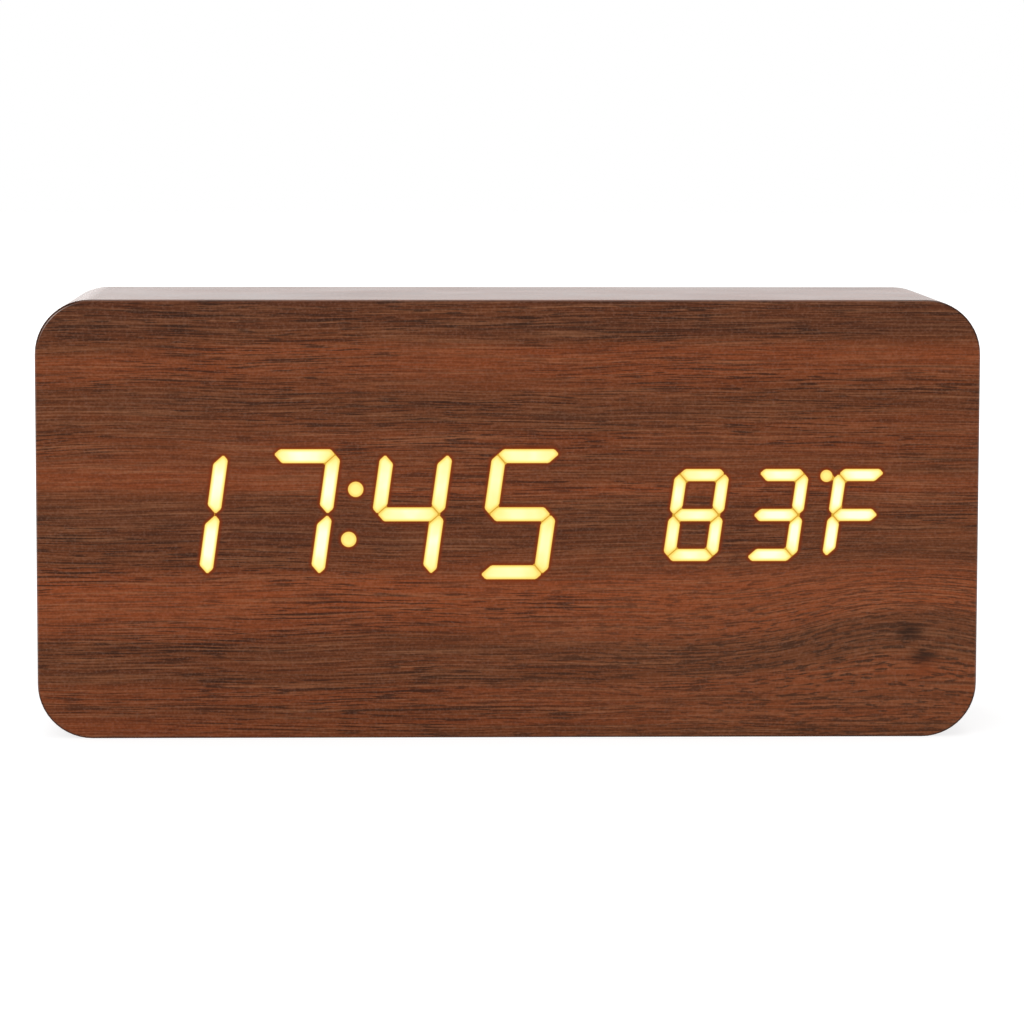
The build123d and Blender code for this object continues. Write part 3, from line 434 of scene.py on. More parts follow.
# %% Knots
KNOT_FLATNESS = 0.5
KNOTS = (
    (Vector((64.2, 17.0)) * MM, 2.6 * MM, 0.75, PORE_AND_SHADE_BROWN),
    (Vector((66.4, 12.8)) * MM, 2.2 * MM, 0.80, PORE_AND_SHADE_BROWN),
    (Vector((66.6, 10.9)) * MM, 2.0 * MM, 0.70, RED_WALNUT),
)


def with_knots(tree, x, z, colour):
    """The colour of the front with its knots laid over it."""
    for place, width, share, knot_colour in KNOTS:
        spot = soft_spot(tree, x, z, place, width, width * KNOT_FLATNESS)
        colour = blend(tree, times(tree, spot, share), colour, knot_colour)
    return colour


print("knots and spots beside them:", len(KNOTS))

# %% [markdown]
# The film is cut off where the front ends. Round the corners its cut edge shows as a thin dark line,
# and along the foot a like dark line is painted shade under the edge. On the straight edges a pale line
# is a painted highlight of the edge, and at the upper left corner a pale mark lies just inside the edge.
# All of these follow the depth inside the outline, so they stay at the edge if the size changes.

# %% Dark cut edge, painted shade and painted highlight along the edges
# Reaches of the edge marks: the foot's dark line is painted shade, and the straight edges' pale line is a
# painted highlight.
EDGE_REACH = 0.5 * MM
FOOT_SHADE_SHARE = 0.6
LINE_STOPS = [(0.0, 0.66), (0.44, 0.66), (0.62, 0.0)]
EDGE_HIGHLIGHT_STOPS = [(0.0, 0.14), (0.30, 0.10), (0.60, 0.0)]
PALE_CORNER_STOPS = [(0.56, 0.0), (0.70, 1.0), (0.86, 0.0)]
PALE_EDGE_TONE = srgb(214, 198, 190)
PALE_CORNER_PLACE = Vector((-71.6, 66.6)) * MM
PALE_CORNER_REACH = 2.8 * MM


def with_edge_shade_and_highlight(tree, x, z, colour):
    """The colour of the front with a dark cut edge round its corners, painted shade along its foot, a painted
    highlight on its straight edges and a pale mark at its upper left corner.
    """
    edge = maths(tree, "DIVIDE", depth_under_outline(tree, x, z), EDGE_REACH)
    corner_place = maths(tree, "DIVIDE", maths(tree, "MINIMUM", *past_straights(tree, x, z)), CORNER)
    on_corner = ramp(tree, corner_place, [(0.05, 0.0), (0.25, 1.0)])
    # Along the foot the dark line is painted shade under the edge; round the corners it is the film's dark
    # cut edge.
    on_foot = maths(tree, "LESS_THAN", z, EDGE_REACH)
    line = maths(tree, "MAXIMUM", on_corner, times(tree, on_foot, FOOT_SHADE_SHARE))
    colour = blend(tree, times(tree, line, ramp(tree, edge, LINE_STOPS)), colour, PORE_AND_SHADE_BROWN)
    # On the straight edges the pale line is a painted highlight of the edge.
    straight = minus(tree, 1.0, maths(tree, "MAXIMUM", on_corner, on_foot))
    colour = blend(tree, times(tree, straight, ramp(tree, edge, EDGE_HIGHLIGHT_STOPS)), colour, PALE_EDGE_TONE)
    # At the upper left corner a pale mark lies just inside the edge.
    pale_corner = soft_spot(tree, x, z, PALE_CORNER_PLACE, PALE_CORNER_REACH, PALE_CORNER_REACH)
    return blend(tree, times(tree, pale_corner, ramp(tree, edge, PALE_CORNER_STOPS)), colour, PALE_EDGE_TONE)


# This reach holds the dark cut edge, the painted foot shade and the painted highlight.
print("edge marks reach", round(EDGE_REACH / MM, 2), "mm in from the edge")

# %% [markdown]
# The light that the lit bars spill into the film beside them is painted on it: a thin orange rim and a
# faint red haze farther out glow as emission, and a warm brown is painted into its colour behind the rim.
# The material needs the distance to the nearest bar for this. Each point of the film's mesh gets it
# later, under the name `light_distance`, when the bars are made.

# %% Painted glow on the film beside a lit bar
GLOW_BROWN = srgb(114, 44, 4)
RIM_REACH = 1.0 * MM
HAZE_REACH = 6 * MM
GLOW_WARM_STOPS = [(0.0, 0.9), (0.25, 0.8), (0.7, 0.0)]
RIM_STOPS = [
    (0.0, (0.55, 0.36, 0.03)),
    (0.05, (0.26, 0.09, 0.0)),
    (0.11, (0.08, 0.012, 0.0)),
    (0.25, (0.012, 0.0, 0.0)),
    (0.6, (0.0, 0.0, 0.0)),
]
HAZE_STOPS = [(0.0, (0.006, 0.0005, 0.0)), (0.5, (0.002, 0.0, 0.0)), (1.0, (0.0, 0.0, 0.0))]


def with_light(tree, shader, colour):
    """Paint the glow of a lit bar onto the film beside it. Returns its colour, painted warm there."""
    distance = node(tree, "ShaderNodeAttribute", attribute_name="light_distance").outputs["Fac"]
    near = maths(tree, "DIVIDE", distance, RIM_REACH)
    haze = ramp(tree, maths(tree, "DIVIDE", distance, HAZE_REACH), HAZE_STOPS)
    glow = blend(tree, 1.0, ramp(tree, near, RIM_STOPS), haze, mode="ADD")
    tree.links.new(glow, shader.inputs["Emission Color"])
    shader.inputs["Emission Strength"].default_value = 1.0
    return blend(tree, ramp(tree, near, GLOW_WARM_STOPS), colour, GLOW_BROWN)


print("light shows up to", round(HAZE_REACH / MM, 1), "mm from a bar")

# %% [markdown]
# The rear rim is the same film without the light. Both have a satin sheen, and dark marks that are
# pressed in by a few thousandths of a millimetre, which is enough to break up a reflection.

# %% Film for the front and for the rear rim
PORE_DEPTH = 0.004 * MM


def film_finish(tree, shader, colour, height, sheen):
    """Satin film: a little sheen at a low angle, and pores that are pressed in by a hair."""
    tree.links.new(colour, shader.inputs["Base Color"])
    smear = noise(tree, object_place(tree), (60, 60, 60), detail=3.0)
    tree.links.new(ramp(tree, smear, [(0.3, 0.20), (0.7, 0.25)]), shader.inputs["Roughness"])
    shader.inputs["Specular IOR Level"].default_value = sheen
    bump(tree, shader, height, PORE_DEPTH)


def walnut_front(name, light_rim):
    """Walnut film for a face that looks along Y, with or without the light of the lit bars."""
    material, tree, shader = new_material(name)
    x, y, z = node(tree, "ShaderNodeSeparateXYZ", [(0, object_place(tree))]).outputs
    colour, height = front_figure(tree, x, y, z)
    colour = with_edge_shade_and_highlight(tree, x, z, with_knots(tree, x, z, colour))
    if light_rim:
        colour = with_light(tree, shader, colour)
    film_finish(tree, shader, colour, height, sheen=0.10)
    return material


front_film = walnut_front("walnut_film_front", light_rim=True)
rear_film = walnut_front("walnut_film_rear", light_rim=False)
print("front film has", len(front_film.node_tree.nodes), "nodes")

# %% [markdown]
# The strip of film that wraps the block runs round it, so its grain follows the outline and its lines
# are stacked from front to rear. Inside the film the case is bare fibreboard. Both are one solid, so
# the material finds out how far each point lies under the outline, a rectangle with round corners,
# and shows fibreboard where that is deeper than the film.

# %% Film round the case, with fibreboard behind it
FILM_THICKNESS = 0.4 * MM
WRAP_BAND = 0.26
BOARD_STOPS = [(0.3, srgb(120, 84, 56)), (0.55, srgb(158, 118, 80)), (0.8, srgb(186, 148, 106))]


def case_material():
    """Walnut film outside and brown fibreboard inside."""
    material, tree, shader = new_material("walnut_film_wrap")
    place = object_place(tree)
    x, _, z = node(tree, "ShaderNodeSeparateXYZ", [(0, place)]).outputs
    inputs = [("Place", place), ("Band", WRAP_BAND), ("Pores", PLAIN_PORES)]
    figure = node(tree, "ShaderNodeGroup", inputs, node_tree=walnut_figure).outputs
    fibres = noise(tree, place, (900, 2500, 900), detail=3.0, roughness=0.7)
    inside = maths(tree, "GREATER_THAN", depth_under_outline(tree, x, z), FILM_THICKNESS)
    colour = blend(tree, inside, figure["Colour"], ramp(tree, fibres, BOARD_STOPS))
    height = blend(tree, inside, figure["Height"], fibres)
    film_finish(tree, shader, colour, height, sheen=0.24)
    return material


case_film = case_material()
print("case material has", len(case_film.node_tree.nodes), "nodes")

# %% [markdown]
# ## Moulded plastics
#
# The cover, the door and the buttons are moulded in black plastic. Their mould was sparked to a fine
# matt grain, so the shine breaks up into tiny points, and a slow change of gloss shows where the
# plastic flowed. One recipe makes all the plastics: a colour, how matt it is, and the grain's size.

# %% One recipe for moulded plastic
GLOSS_SWING = 0.09
MOTTLE_LIFT = 0.002


def plastic(name, colour, roughness, grain=0.25 * MM, depth=0.008 * MM, mottle=0.12, specular=0.35):
    """Moulded plastic with a sparked grain and slightly uneven colour and gloss."""
    material, tree, shader = new_material(name)
    place = object_place(tree)
    spots = 1 / grain
    fine = noise(tree, place, (spots, spots, spots), detail=2.0)
    slow = noise(tree, place, (90, 90, 90), detail=3.0)
    lighter = tuple(min(1.0, part * (1 + mottle) + MOTTLE_LIFT) for part in colour)
    darker = tuple(part * (1 - mottle) for part in colour)
    tree.links.new(ramp(tree, slow, [(0.3, darker), (0.7, lighter)]), shader.inputs["Base Color"])
    uneven = times(tree, plus(tree, fine, slow), GLOSS_SWING)
    tree.links.new(plus(tree, uneven, roughness - GLOSS_SWING), shader.inputs["Roughness"])
    shader.inputs["Specular IOR Level"].default_value = specular
    bump(tree, shader, fine, depth)
    return material


cover_plastic = plastic("cover_plastic", srgb(30, 30, 32), 0.52)
door_plastic = plastic("door_plastic", srgb(32, 32, 34), 0.50)
button_plastic = plastic("button_plastic", srgb(38, 38, 40), 0.40, grain=0.15 * MM, depth=0.004 * MM)
print("plastics:", cover_plastic.name, door_plastic.name, button_plastic.name)

# %% [markdown]
# ## Metals
#
# The contacts and the screws are plated steel. A rolled or drawn metal shows faint lines in one
# direction, so its gloss and its colour are streaked, and a little dullness shows where fingers and
# tools have been.

# %% One recipe for metal
LINE_GLOSS = 0.14
LINE_DEPTH = 0.004 * MM


def metal(name, colour, roughness, streaks=(300, 300, 4000), tarnish=0.10):
    """Plated or drawn metal with fine lines and uneven gloss."""
    material, tree, shader = new_material(name)
    place = object_place(tree)
    lines = noise(tree, place, streaks, detail=2.0)
    dull = noise(tree, place, (500, 500, 500), detail=3.0, offset=(2, 5, 8))
    darker = tuple(part * (1 - tarnish) for part in colour)
    tree.links.new(ramp(tree, dull, [(0.35, colour), (0.75, darker)]), shader.inputs["Base Color"])
    gloss = plus(tree, swing(tree, lines, LINE_GLOSS), roughness)
    tree.links.new(gloss, shader.inputs["Roughness"])
    shader.inputs["Metallic"].default_value = 1.0
    bump(tree, shader, lines, LINE_DEPTH)
    return material


nickel = metal("nickel_strip", srgb(205, 200, 190), 0.26)
plated = metal("plated_steel", srgb(190, 190, 188), 0.28, streaks=(900, 900, 900))
dark_steel = metal("dark_steel", srgb(58, 58, 62), 0.38, streaks=(900, 900, 900), tarnish=0.2)
tin = metal("tinned_can", srgb(196, 198, 200), 0.22)
socket_steel = metal("socket_steel", srgb(176, 178, 180), 0.30)
microphone_can = metal("microphone_can", srgb(168, 168, 166), 0.34)
print("metals:", nickel.name, plated.name, dark_steel.name)

# %% [markdown]
# ## Circuit boards
#
# A printed board is green lacquer over copper tracks. Where copper lies under the lacquer the green is
# lighter and stands a hair higher. Tracks run in straight lanes, so a grid of cells that is cut by a
# coarse noise gives lanes that start and stop.

# %% Green board with tracks under its lacquer
LANE = 1.27 * MM
LANE_GAP = 0.16 * LANE
LANE_RUN = 9 * LANE
LANE_STAGGER = 0.37
TRACK_RISE = 0.03 * MM
DUST_SHARE = 0.25


def board_material(name):
    """Green lacquer with tracks in straight lanes and flooded areas of copper."""
    material, tree, shader = new_material(name)
    place = object_place(tree)
    x, _, z = node(tree, "ShaderNodeSeparateXYZ", [(0, place)]).outputs
    flat = node(tree, "ShaderNodeCombineXYZ", [(0, x), (1, z)]).outputs[0]
    sizes = [("Scale", 1.0), ("Mortar Size", LANE_GAP), ("Brick Width", LANE_RUN), ("Row Height", LANE)]
    lanes = node(tree, "ShaderNodeTexBrick", [("Vector", flat), *sizes], offset=LANE_STAGGER).outputs["Fac"]
    pours = noise(tree, place, (60, 60, 60), detail=0.0)
    flood = ramp(tree, pours, [(0.52, 0.0), (0.53, 1.0)])
    copper = maths(tree, "MAXIMUM", lanes, flood)
    dust = noise(tree, place, (1500, 1500, 1500), detail=1.0)
    lacquer = blend(tree, copper, srgb(16, 66, 40), srgb(34, 104, 60))
    colour = blend(tree, times(tree, dust, DUST_SHARE), lacquer, srgb(20, 60, 40))
    tree.links.new(colour, shader.inputs["Base Color"])
    shader.inputs["Roughness"].default_value = 0.32
    bump(tree, shader, copper, TRACK_RISE)
    return material


green_board = board_material("circuit_board")
print("the board has a lane every", round(LANE / MM, 2), "mm")

# %% [markdown]
# ## Ribbon cable
#
# The ribbon that joins the two boards is a row of fine wires in one grey skin, with a red edge that
# marks its first wire. So its pattern follows the width of the ribbon, which the frame gives, and the
# ribs come from a sine that has half a wave for each wire. The grey is painted darker in the grooves
# between the wires and lighter on their tops, as painted shade and painted light.

# %% Finish of the ribbon
ribbon_low, ribbon_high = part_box("link_cable")
RIBBON_WIRES = 10
WIRE_PITCH = (ribbon_high.x - ribbon_low.x) / RIBBON_WIRES
RIB_RISE = 0.3 * MM


def ribbon_material(name):
    """Grey ribbon cable, ribbed by its wires, with painted shade in its grooves and a red first wire."""
    material, tree, shader = new_material(name)
    place = object_place(tree)
    x = node(tree, "ShaderNodeSeparateXYZ", [(0, place)]).outputs[0]
    across = maths(tree, "DIVIDE", minus(tree, x, ribbon_low.x), WIRE_PITCH)
    ridge = maths(tree, "ABSOLUTE", maths(tree, "SINE", times(tree, across, pi)))
    first = maths(tree, "LESS_THAN", across, 1.0)
    # Darker grey in the grooves and paler on the ridges is painted shade and painted light.
    grey = ramp(tree, ridge, [(0.0, srgb(118, 120, 122)), (0.5, srgb(158, 160, 162))])
    tree.links.new(blend(tree, first, grey, srgb(176, 44, 38)), shader.inputs["Base Color"])
    gloss = noise(tree, place, (400, 400, 400))
    tree.links.new(ramp(tree, gloss, [(0.3, 0.38), (0.7, 0.48)]), shader.inputs["Roughness"])
    bump(tree, shader, ridge, RIB_RISE)
    return material


ribbon_grey = ribbon_material("ribbon_grey")
print("each wire of the ribbon is", round(WIRE_PITCH / MM, 2), "mm wide")

# %% [markdown]
# ## Resin and the parts on the boards
#
# The windows of the display modules are cast in a milky resin that lets light through. The small parts
# are plain mouldings and cans, each with its own colour and gloss, so the two recipes for plastic and
# metal serve them all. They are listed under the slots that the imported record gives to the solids.

# %% Finishes of the small parts


def resin_material(name):
    """Milky casting resin that lets light through."""
    material, tree, shader = new_material(name)
    cloud = noise(tree, object_place(tree), (350, 350, 350), detail=2.0)
    milky = ramp(tree, cloud, [(0.3, srgb(232, 226, 206)), (0.7, srgb(246, 242, 228))])
    tree.links.new(milky, shader.inputs["Base Color"])
    shader.inputs["Transmission Weight"].default_value = 0.6
    shader.inputs["Roughness"].default_value = 0.35
    return material


finishes = {
    "display_white": plastic("display_white", srgb(228, 228, 222), 0.45),
    "clear_resin": resin_material("clear_resin"),
    "led_chip": plastic("led_chip", srgb(238, 222, 150), 0.30, grain=0.2 * MM),
    "circuit_board": green_board,
    "plated_steel": plated,
    "dark_steel": dark_steel,
    "chip_black": plastic("chip_black", srgb(34, 34, 36), 0.55, grain=0.12 * MM),
    "crystal_can": tin,
    "capacitor_can": metal("capacitor_can", srgb(206, 208, 210), 0.30, streaks=(500, 3000, 500)),
    "cover_plastic": cover_plastic,
    "nickel_strip": nickel,
    "black_wire": plastic("black_wire", srgb(24, 24, 26), 0.35, grain=0.5 * MM),
    "red_wire": plastic("red_wire", srgb(168, 28, 24), 0.35, grain=0.5 * MM),
    "switch_housing": plastic("switch_housing", srgb(44, 44, 46), 0.45),
    "plunger_plastic": plastic("plunger_plastic", srgb(26, 26, 28), 0.38),
    "button_plastic": button_plastic,
    "socket_steel": socket_steel,
    "buzzer_black": plastic("buzzer_black", srgb(28, 28, 30), 0.48),
    "microphone_can": microphone_can,
    "sensor_bead": plastic("sensor_bead", srgb(30, 42, 40), 0.30, grain=0.4 * MM),
    "header_white": plastic("header_white", srgb(226, 220, 204), 0.42),
    "ribbon_grey": ribbon_grey,
}
print("finishes for", len(finishes), "slots")

# %% [markdown]
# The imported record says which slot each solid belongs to, so most solids get their finish by one loop.
# The film, the case and the door have a material of their own. The two solids at the front get plain
# film for now, because finer pieces take their place in the next part.

# %% Give every solid its finish
own_finish = {
    "front_veneer": front_film,
    "glowing_digits": front_film,
    "rear_veneer": rear_film,
    "case_body": case_film,
    "battery_door": door_plastic,
}
slot_of = {row["node"]: row["material_slot"] for row in frame["record"]["subparts"]}
for name, solid in nodes.items():
    solid.data.materials.clear()
    solid.data.materials.append(own_finish.get(name) or finishes[slot_of[name]])
print("dressed", len(nodes), "solids")

# %% [markdown]
# ## Lit bars and the film round them
#
# Each bar is a window cut in the film's print. The light behind it is strongest in the middle, so a
# bar looks white inside, yellow towards its edge and deep yellow at the rim, and a little light leaks
# sideways into the film. A colour can only fade from point to point of a mesh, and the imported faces
# are flat with points at their corners alone. So the front of each is taken off and filled again with
# a fine net of triangles, which keeps the outline exactly as it was.

# %% Helpers that find the front of a solid
SAME_PLACE = 0.0005 * MM
FRONT_BAND = 0.05 * MM


def is_front(face):
    """Whether a face lies in the front plane of the clock."""
    return all(vert.co.y < front_face + FRONT_BAND for vert in face.verts)


def clean_copy(name):
    """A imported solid's surface with its loose triangles joined."""
    form = bmesh.new()
    form.from_mesh(nodes[name].data)
    bmesh.ops.remove_doubles(form, verts=form.verts, dist=SAME_PLACE)
    return form


def front_surface(form):
    """A search tree of a form's front faces, for finding the distance from a point to them."""
    form.verts.index_update()
    faces = [[vert.index for vert in face.verts] for face in form.faces if is_front(face)]
    return BVHTree.FromPolygons([vert.co for vert in form.verts], faces)


def grid_spots(step, reach):
    """Places of a square grid over the digits, in the front plane."""
    low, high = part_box("glowing_digits")
    columns = int((high.x - low.x + 2 * reach) / step)
    rows = int((high.z - low.z + 2 * reach) / step)
    for row in range(rows):
        for column in range(columns):
            yield Vector((low.x - reach + column * step, front_face, low.z - reach + row * step))


print("the front plane lies at", round(front_face / MM, 2), "mm")

# %% [markdown]
# The outline's corners and the spots inside it are joined by a Delaunay triangulation. It keeps every
# edge that it is given, and it makes triangles that are as far from slivers as the points allow. Those
# that would close a window in the film are left out.

# %% Helpers that fill a front and make a piece of it
INSIDE_OUTLINES = 1
MERGE_REACH = 1e-9
HOLE_MARGIN = 0.03 * MM


def refill_front(form, spots, holes=None):
    """Replace a form's front by triangles through its outline and the spots, but none over the holes."""
    bmesh.ops.delete(form, geom=[face for face in form.faces if is_front(face)], context="FACES_ONLY")
    loose = [edge for edge in form.edges if not edge.link_faces]
    bmesh.ops.delete(form, geom=loose, context="EDGES")
    rim = [edge for edge in form.edges if len(edge.link_faces) == 1]
    corners = list({vert for edge in rim for vert in edge.verts})
    number = {vert: place for place, vert in enumerate(corners)}
    points = [Vector((vert.co.x, vert.co.z)) for vert in corners]
    points += [Vector((spot.x, spot.z)) for spot in spots]
    edges = [(number[edge.verts[0]], number[edge.verts[1]]) for edge in rim]
    flat, _, triangles, sources, _, _ = delaunay_2d_cdt(points, edges, [], INSIDE_OUTLINES, MERGE_REACH)
    verts = [
        corners[source[0]] if source[0] < len(corners) else form.verts.new((point.x, front_face, point.y))
        for point, source in zip(flat, sources)
    ]
    for triangle in triangles:
        three = [verts[place] for place in triangle]
        centre = sum((vert.co for vert in three), Vector()) / 3
        if holes is None or holes.find_nearest(centre)[3] > HOLE_MARGIN:
            form.faces.new(three)
    bmesh.ops.recalc_face_normals(form, faces=form.faces)


def add_piece(name, form, material):
    """Turn a form into an object of the scene, with its shape alone, and free the form."""
    form.verts.index_update()
    mesh = bpy.data.meshes.new(name)
    faces = [[vert.index for vert in face.verts] for face in form.faces]
    mesh.from_pydata([vert.co[:] for vert in form.verts], [], faces)
    form.free()
    mesh.materials.append(material)
    piece = bpy.data.objects.new(name, mesh)
    bpy.context.scene.collection.objects.link(piece)
    return piece


print("fronts can be filled")

# %% [markdown]
# Spots are kept a little off the outlines, or the triangles there would be slivers. The net is finer
# in the bars, which are only two millimetres wide, than in the film.

# %% Refill the bars and the film
BAR_STEP = 0.3 * MM
FILM_STEP = 0.55 * MM
FILM_REACH = 5 * MM
CLEAR_OF_OUTLINE = 0.2 * MM


def clear_of(surface, spots):
    """The spots that keep off a surface."""
    return [spot for spot in spots if surface.find_nearest(spot)[3] > CLEAR_OF_OUTLINE]


bars = clean_copy("glowing_digits")
film = clean_copy("front_veneer")
bars_surface = front_surface(bars)
film_surface = front_surface(film)
on_bars = clear_of(film_surface, grid_spots(BAR_STEP, 0))
on_film = clear_of(bars_surface, grid_spots(FILM_STEP, FILM_REACH))
refill_front(bars, on_bars)
refill_front(film, on_film, holes=bars_surface)
print("spots on the bars:", len(on_bars), "and on the film:", len(on_film))

# %% [markdown]
# The finish of a bar needs two numbers at each point: how far it is from the bar's edge, and how far
# along the bar it lies from the middle. A Geometry Nodes tree measures the first, as the distance to
# the film. The same tree serves the film, as the distance to the bars. It has named inputs for what
# it measures to and for the attribute's name, and ends in real geometry with a material.

# %% A tree that stores the distance to another piece


def new_mesh_tree(name, inputs):
    """A Geometry Nodes tree from a shape to a shape, with inputs and a finish. Returns as new_group."""
    sockets = {"Geometry": "Geometry", **inputs, "Finish": "Material"}
    return new_group(name, "GeometryNodeTree", sockets, {"Geometry": "Geometry"})


def store(tree, shape, name, value, kind):
    """Keep a value on every point of a shape, under a name."""
    made = node(
        tree,
        "GeometryNodeStoreNamedAttribute",
        [(0, shape), ("Name", name), ("Value", value)],
        data_type=kind,
        domain="POINT",
    )
    return made.outputs[0]


def end_in_mesh(tree, shape, source):
    """End a tree in real geometry, with the material of its input Finish."""
    real = node(tree, "GeometryNodeRealizeInstances", [(0, shape)]).outputs[0]
    dressed = node(tree, "GeometryNodeSetMaterial", [(0, real), ("Material", source.outputs["Finish"])])
    node(tree, "NodeGroupOutput", [(0, dressed.outputs[0])])
    return tree


def distance_tree():
    """Geometry Nodes: keep on each point its distance to the nearest face of another piece."""
    tree, source = new_mesh_tree("distance to a neighbour", {"Neighbour": "Object", "Attribute": "String"})
    shape, neighbour, name = (source.outputs[key] for key in ("Geometry", "Neighbour", "Attribute"))
    other = node(tree, "GeometryNodeObjectInfo", [("Object", neighbour)]).outputs["Geometry"]
    near = node(tree, "GeometryNodeProximity", [(0, other)], target_element="FACES")
    return end_in_mesh(tree, store(tree, shape, name, near.outputs["Distance"], "FLOAT"), source)


neighbour_distance = distance_tree()
print("the tree has", len(neighbour_distance.nodes), "nodes")

# %% [markdown]
# A tree runs as a modifier, and the export wants plain meshes. Each piece is evaluated once with its
# tree, the result becomes its mesh, and the modifier goes.

# %% Helper that runs a tree on a piece


def settle(piece, tree, values):
    """Run a tree on a piece, keep the result as its plain mesh, and take the modifier off."""
    modifier = piece.modifiers.new(tree.name, "NODES")
    modifier.node_group = tree
    for item in tree.interface.items_tree:
        if item.in_out == "INPUT" and item.name in values:
            modifier[item.identifier] = values[item.name]
    bpy.context.view_layer.update()
    seen = piece.evaluated_get(bpy.context.evaluated_depsgraph_get())
    done = bpy.data.meshes.new_from_object(seen)
    piece.modifiers.remove(modifier)
    old, piece.data = piece.data, done
    bpy.data.meshes.remove(old)
    done.name = piece.name
    return piece


print("trees can be run")

# %% [markdown]
# Light through a milky window is whitest in the middle of a bar. The dots of the colon and of the
# degree sign are smaller than their chips' beams, so they stay yellow all over. The digits near the
# middle of the clock glow a little less than the others.

# %% Finish for the lit bars
EDGE_FADE = 0.5 * MM
MIDDLE_LIGHT = 1.12
TIP_LOSS = 0.84
UNEVEN_SHARE = 0.8
CLOUD_SHARE = 0.4
DIM_PLACE = 5 * MM
DIM_REACH = 30 * MM
DIM_SHARE = 0.36
WINDOW_TINT = (0.05, 0.04, 0.01, 1)
LIGHT_STOPS = [
    (0.0, srgb(251, 208, 100)),
    (0.25, srgb(255, 240, 136)),
    (0.50, srgb(255, 248, 166)),
    (0.75, srgb(254, 253, 190)),
    (1.0, srgb(253, 254, 229)),
]


def lit_material(name):
    """Light through a milky window: white in the middle, yellow near the edge."""
    material, tree, shader = new_material(name)
    depth = node(tree, "ShaderNodeAttribute", attribute_name="edge_distance").outputs["Fac"]
    along = node(tree, "ShaderNodeAttribute", attribute_name="along").outputs["Fac"]
    place = object_place(tree)
    x = node(tree, "ShaderNodeSeparateXYZ", [(0, place)]).outputs[0]
    cloud = swing(tree, noise(tree, place, (420, 420, 420), detail=1.0), CLOUD_SHARE)
    uneven = swing(tree, noise(tree, place, (75, 75, 75), detail=1.0, offset=(4, 4, 4)), UNEVEN_SHARE)
    inward = maths(tree, "MINIMUM", maths(tree, "DIVIDE", depth, EDGE_FADE), 1.0)
    falloff = minus(tree, MIDDLE_LIGHT, times(tree, maths(tree, "POWER", along, 2.0), TIP_LOSS))
    dim = times(tree, bell(tree, x, DIM_PLACE, DIM_REACH), DIM_SHARE)
    falloff = times(tree, plus(tree, falloff, uneven), minus(tree, 1.0, dim))
    strength = times(tree, inward, plus(tree, falloff, cloud))
    tree.links.new(ramp(tree, strength, LIGHT_STOPS), shader.inputs["Emission Color"])
    shader.inputs["Emission Strength"].default_value = 1.0
    shader.inputs["Base Color"].default_value = WINDOW_TINT
    shader.inputs["Roughness"].default_value = 0.5
    shader.inputs["Specular IOR Level"].default_value = 0.1
    return material


lit_segment = lit_material("lit_segment")
print("lit bars have", len(lit_segment.node_tree.nodes), "nodes")

# %% [markdown]
# The place along each bar is worked out in Python: the bar's middle and its farthest corner give its
# direction, and a point's share of that reach is kept as a second attribute. A dot has one value all
# over, so that it stays yellow.

# %% Find the place of each point along its bar
DOT_REACH = 1.4 * MM
DOT_SHARE = 1.0


def bar_reaches(form):
    """The middle and the farthest corner of each island of a form."""
    waiting, found = set(form.verts), []
    while waiting:
        island, edge_of_search = set(), [waiting.pop()]
        while edge_of_search:
            vert = edge_of_search.pop()
            island.add(vert)
            for edge in vert.link_edges:
                other = edge.other_vert(vert)
                if other in waiting:
                    waiting.discard(other)
                    edge_of_search.append(other)
        low = Vector([min(vert.co[axis] for vert in island) for axis in range(3)])
        high = Vector([max(vert.co[axis] for vert in island) for axis in range(3)])
        centre = (low + high) / 2
        farthest = max((vert.co - centre for vert in island), key=lambda reach: reach.length)
        found.append((island, centre, farthest))
    return found


along_of = {}
for island, centre, farthest in bar_reaches(bars):
    for vert in island:
        share = abs((vert.co - centre).dot(farthest.normalized())) / farthest.length
        along_of[vert] = DOT_SHARE if farthest.length < DOT_REACH else share
bars.verts.index_update()
along_values = [along_of[vert] for vert in bars.verts]
print("points on the bars:", len(along_values))

# %% [markdown]
# Both fronts now become pieces of the scene. Each runs the tree with the other as its neighbour, and
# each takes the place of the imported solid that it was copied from.

# %% Make the lit bars and the film
lit_segments = add_piece("lit_segments", bars, lit_segment)
along_attribute = lit_segments.data.attributes.new("along", "FLOAT", "POINT")
along_attribute.data.foreach_set("value", along_values)
front_film_piece = add_piece("front_film", film, front_film)

bar_values = {"Neighbour": front_film_piece, "Attribute": "edge_distance", "Finish": lit_segment}
settle(lit_segments, neighbour_distance, bar_values)
film_values = {"Neighbour": lit_segments, "Attribute": "light_distance", "Finish": front_film}
settle(front_film_piece, neighbour_distance, film_values)
for piece, node_name, slot_name in (
    (lit_segments, "glowing_digits", "lit_segment"),
    (front_film_piece, "front_veneer", "walnut_film"),
):
    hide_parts(node_name)
    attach(piece, "clock")
    print(piece.name, "has", len(piece.data.polygons), "faces")

# %% [markdown]
# ## Marks moulded on the plastic
#
# A battery bay needs signs that say which way round each cell goes: a plus where its cap goes and a
# minus where its flat end goes. They stand a fraction of a millimetre proud of the trough, which is
# round, so a flat sign would sink into it at its tips. This Geometry Nodes tree makes the signs from a
# grid: it sets a grid at each point, cuts each down to a bar or a cross, lets every point fall onto the
# surface below, and raises the faces. A number kept on each point says which sign it gets.

# %% Grids that are cut down to signs
SIGN_CELLS = 8


def recall(tree, name, kind):
    """The value that points carry under a name."""
    return node(tree, "GeometryNodeInputNamedAttribute", [("Name", name)], data_type=kind).outputs[0]


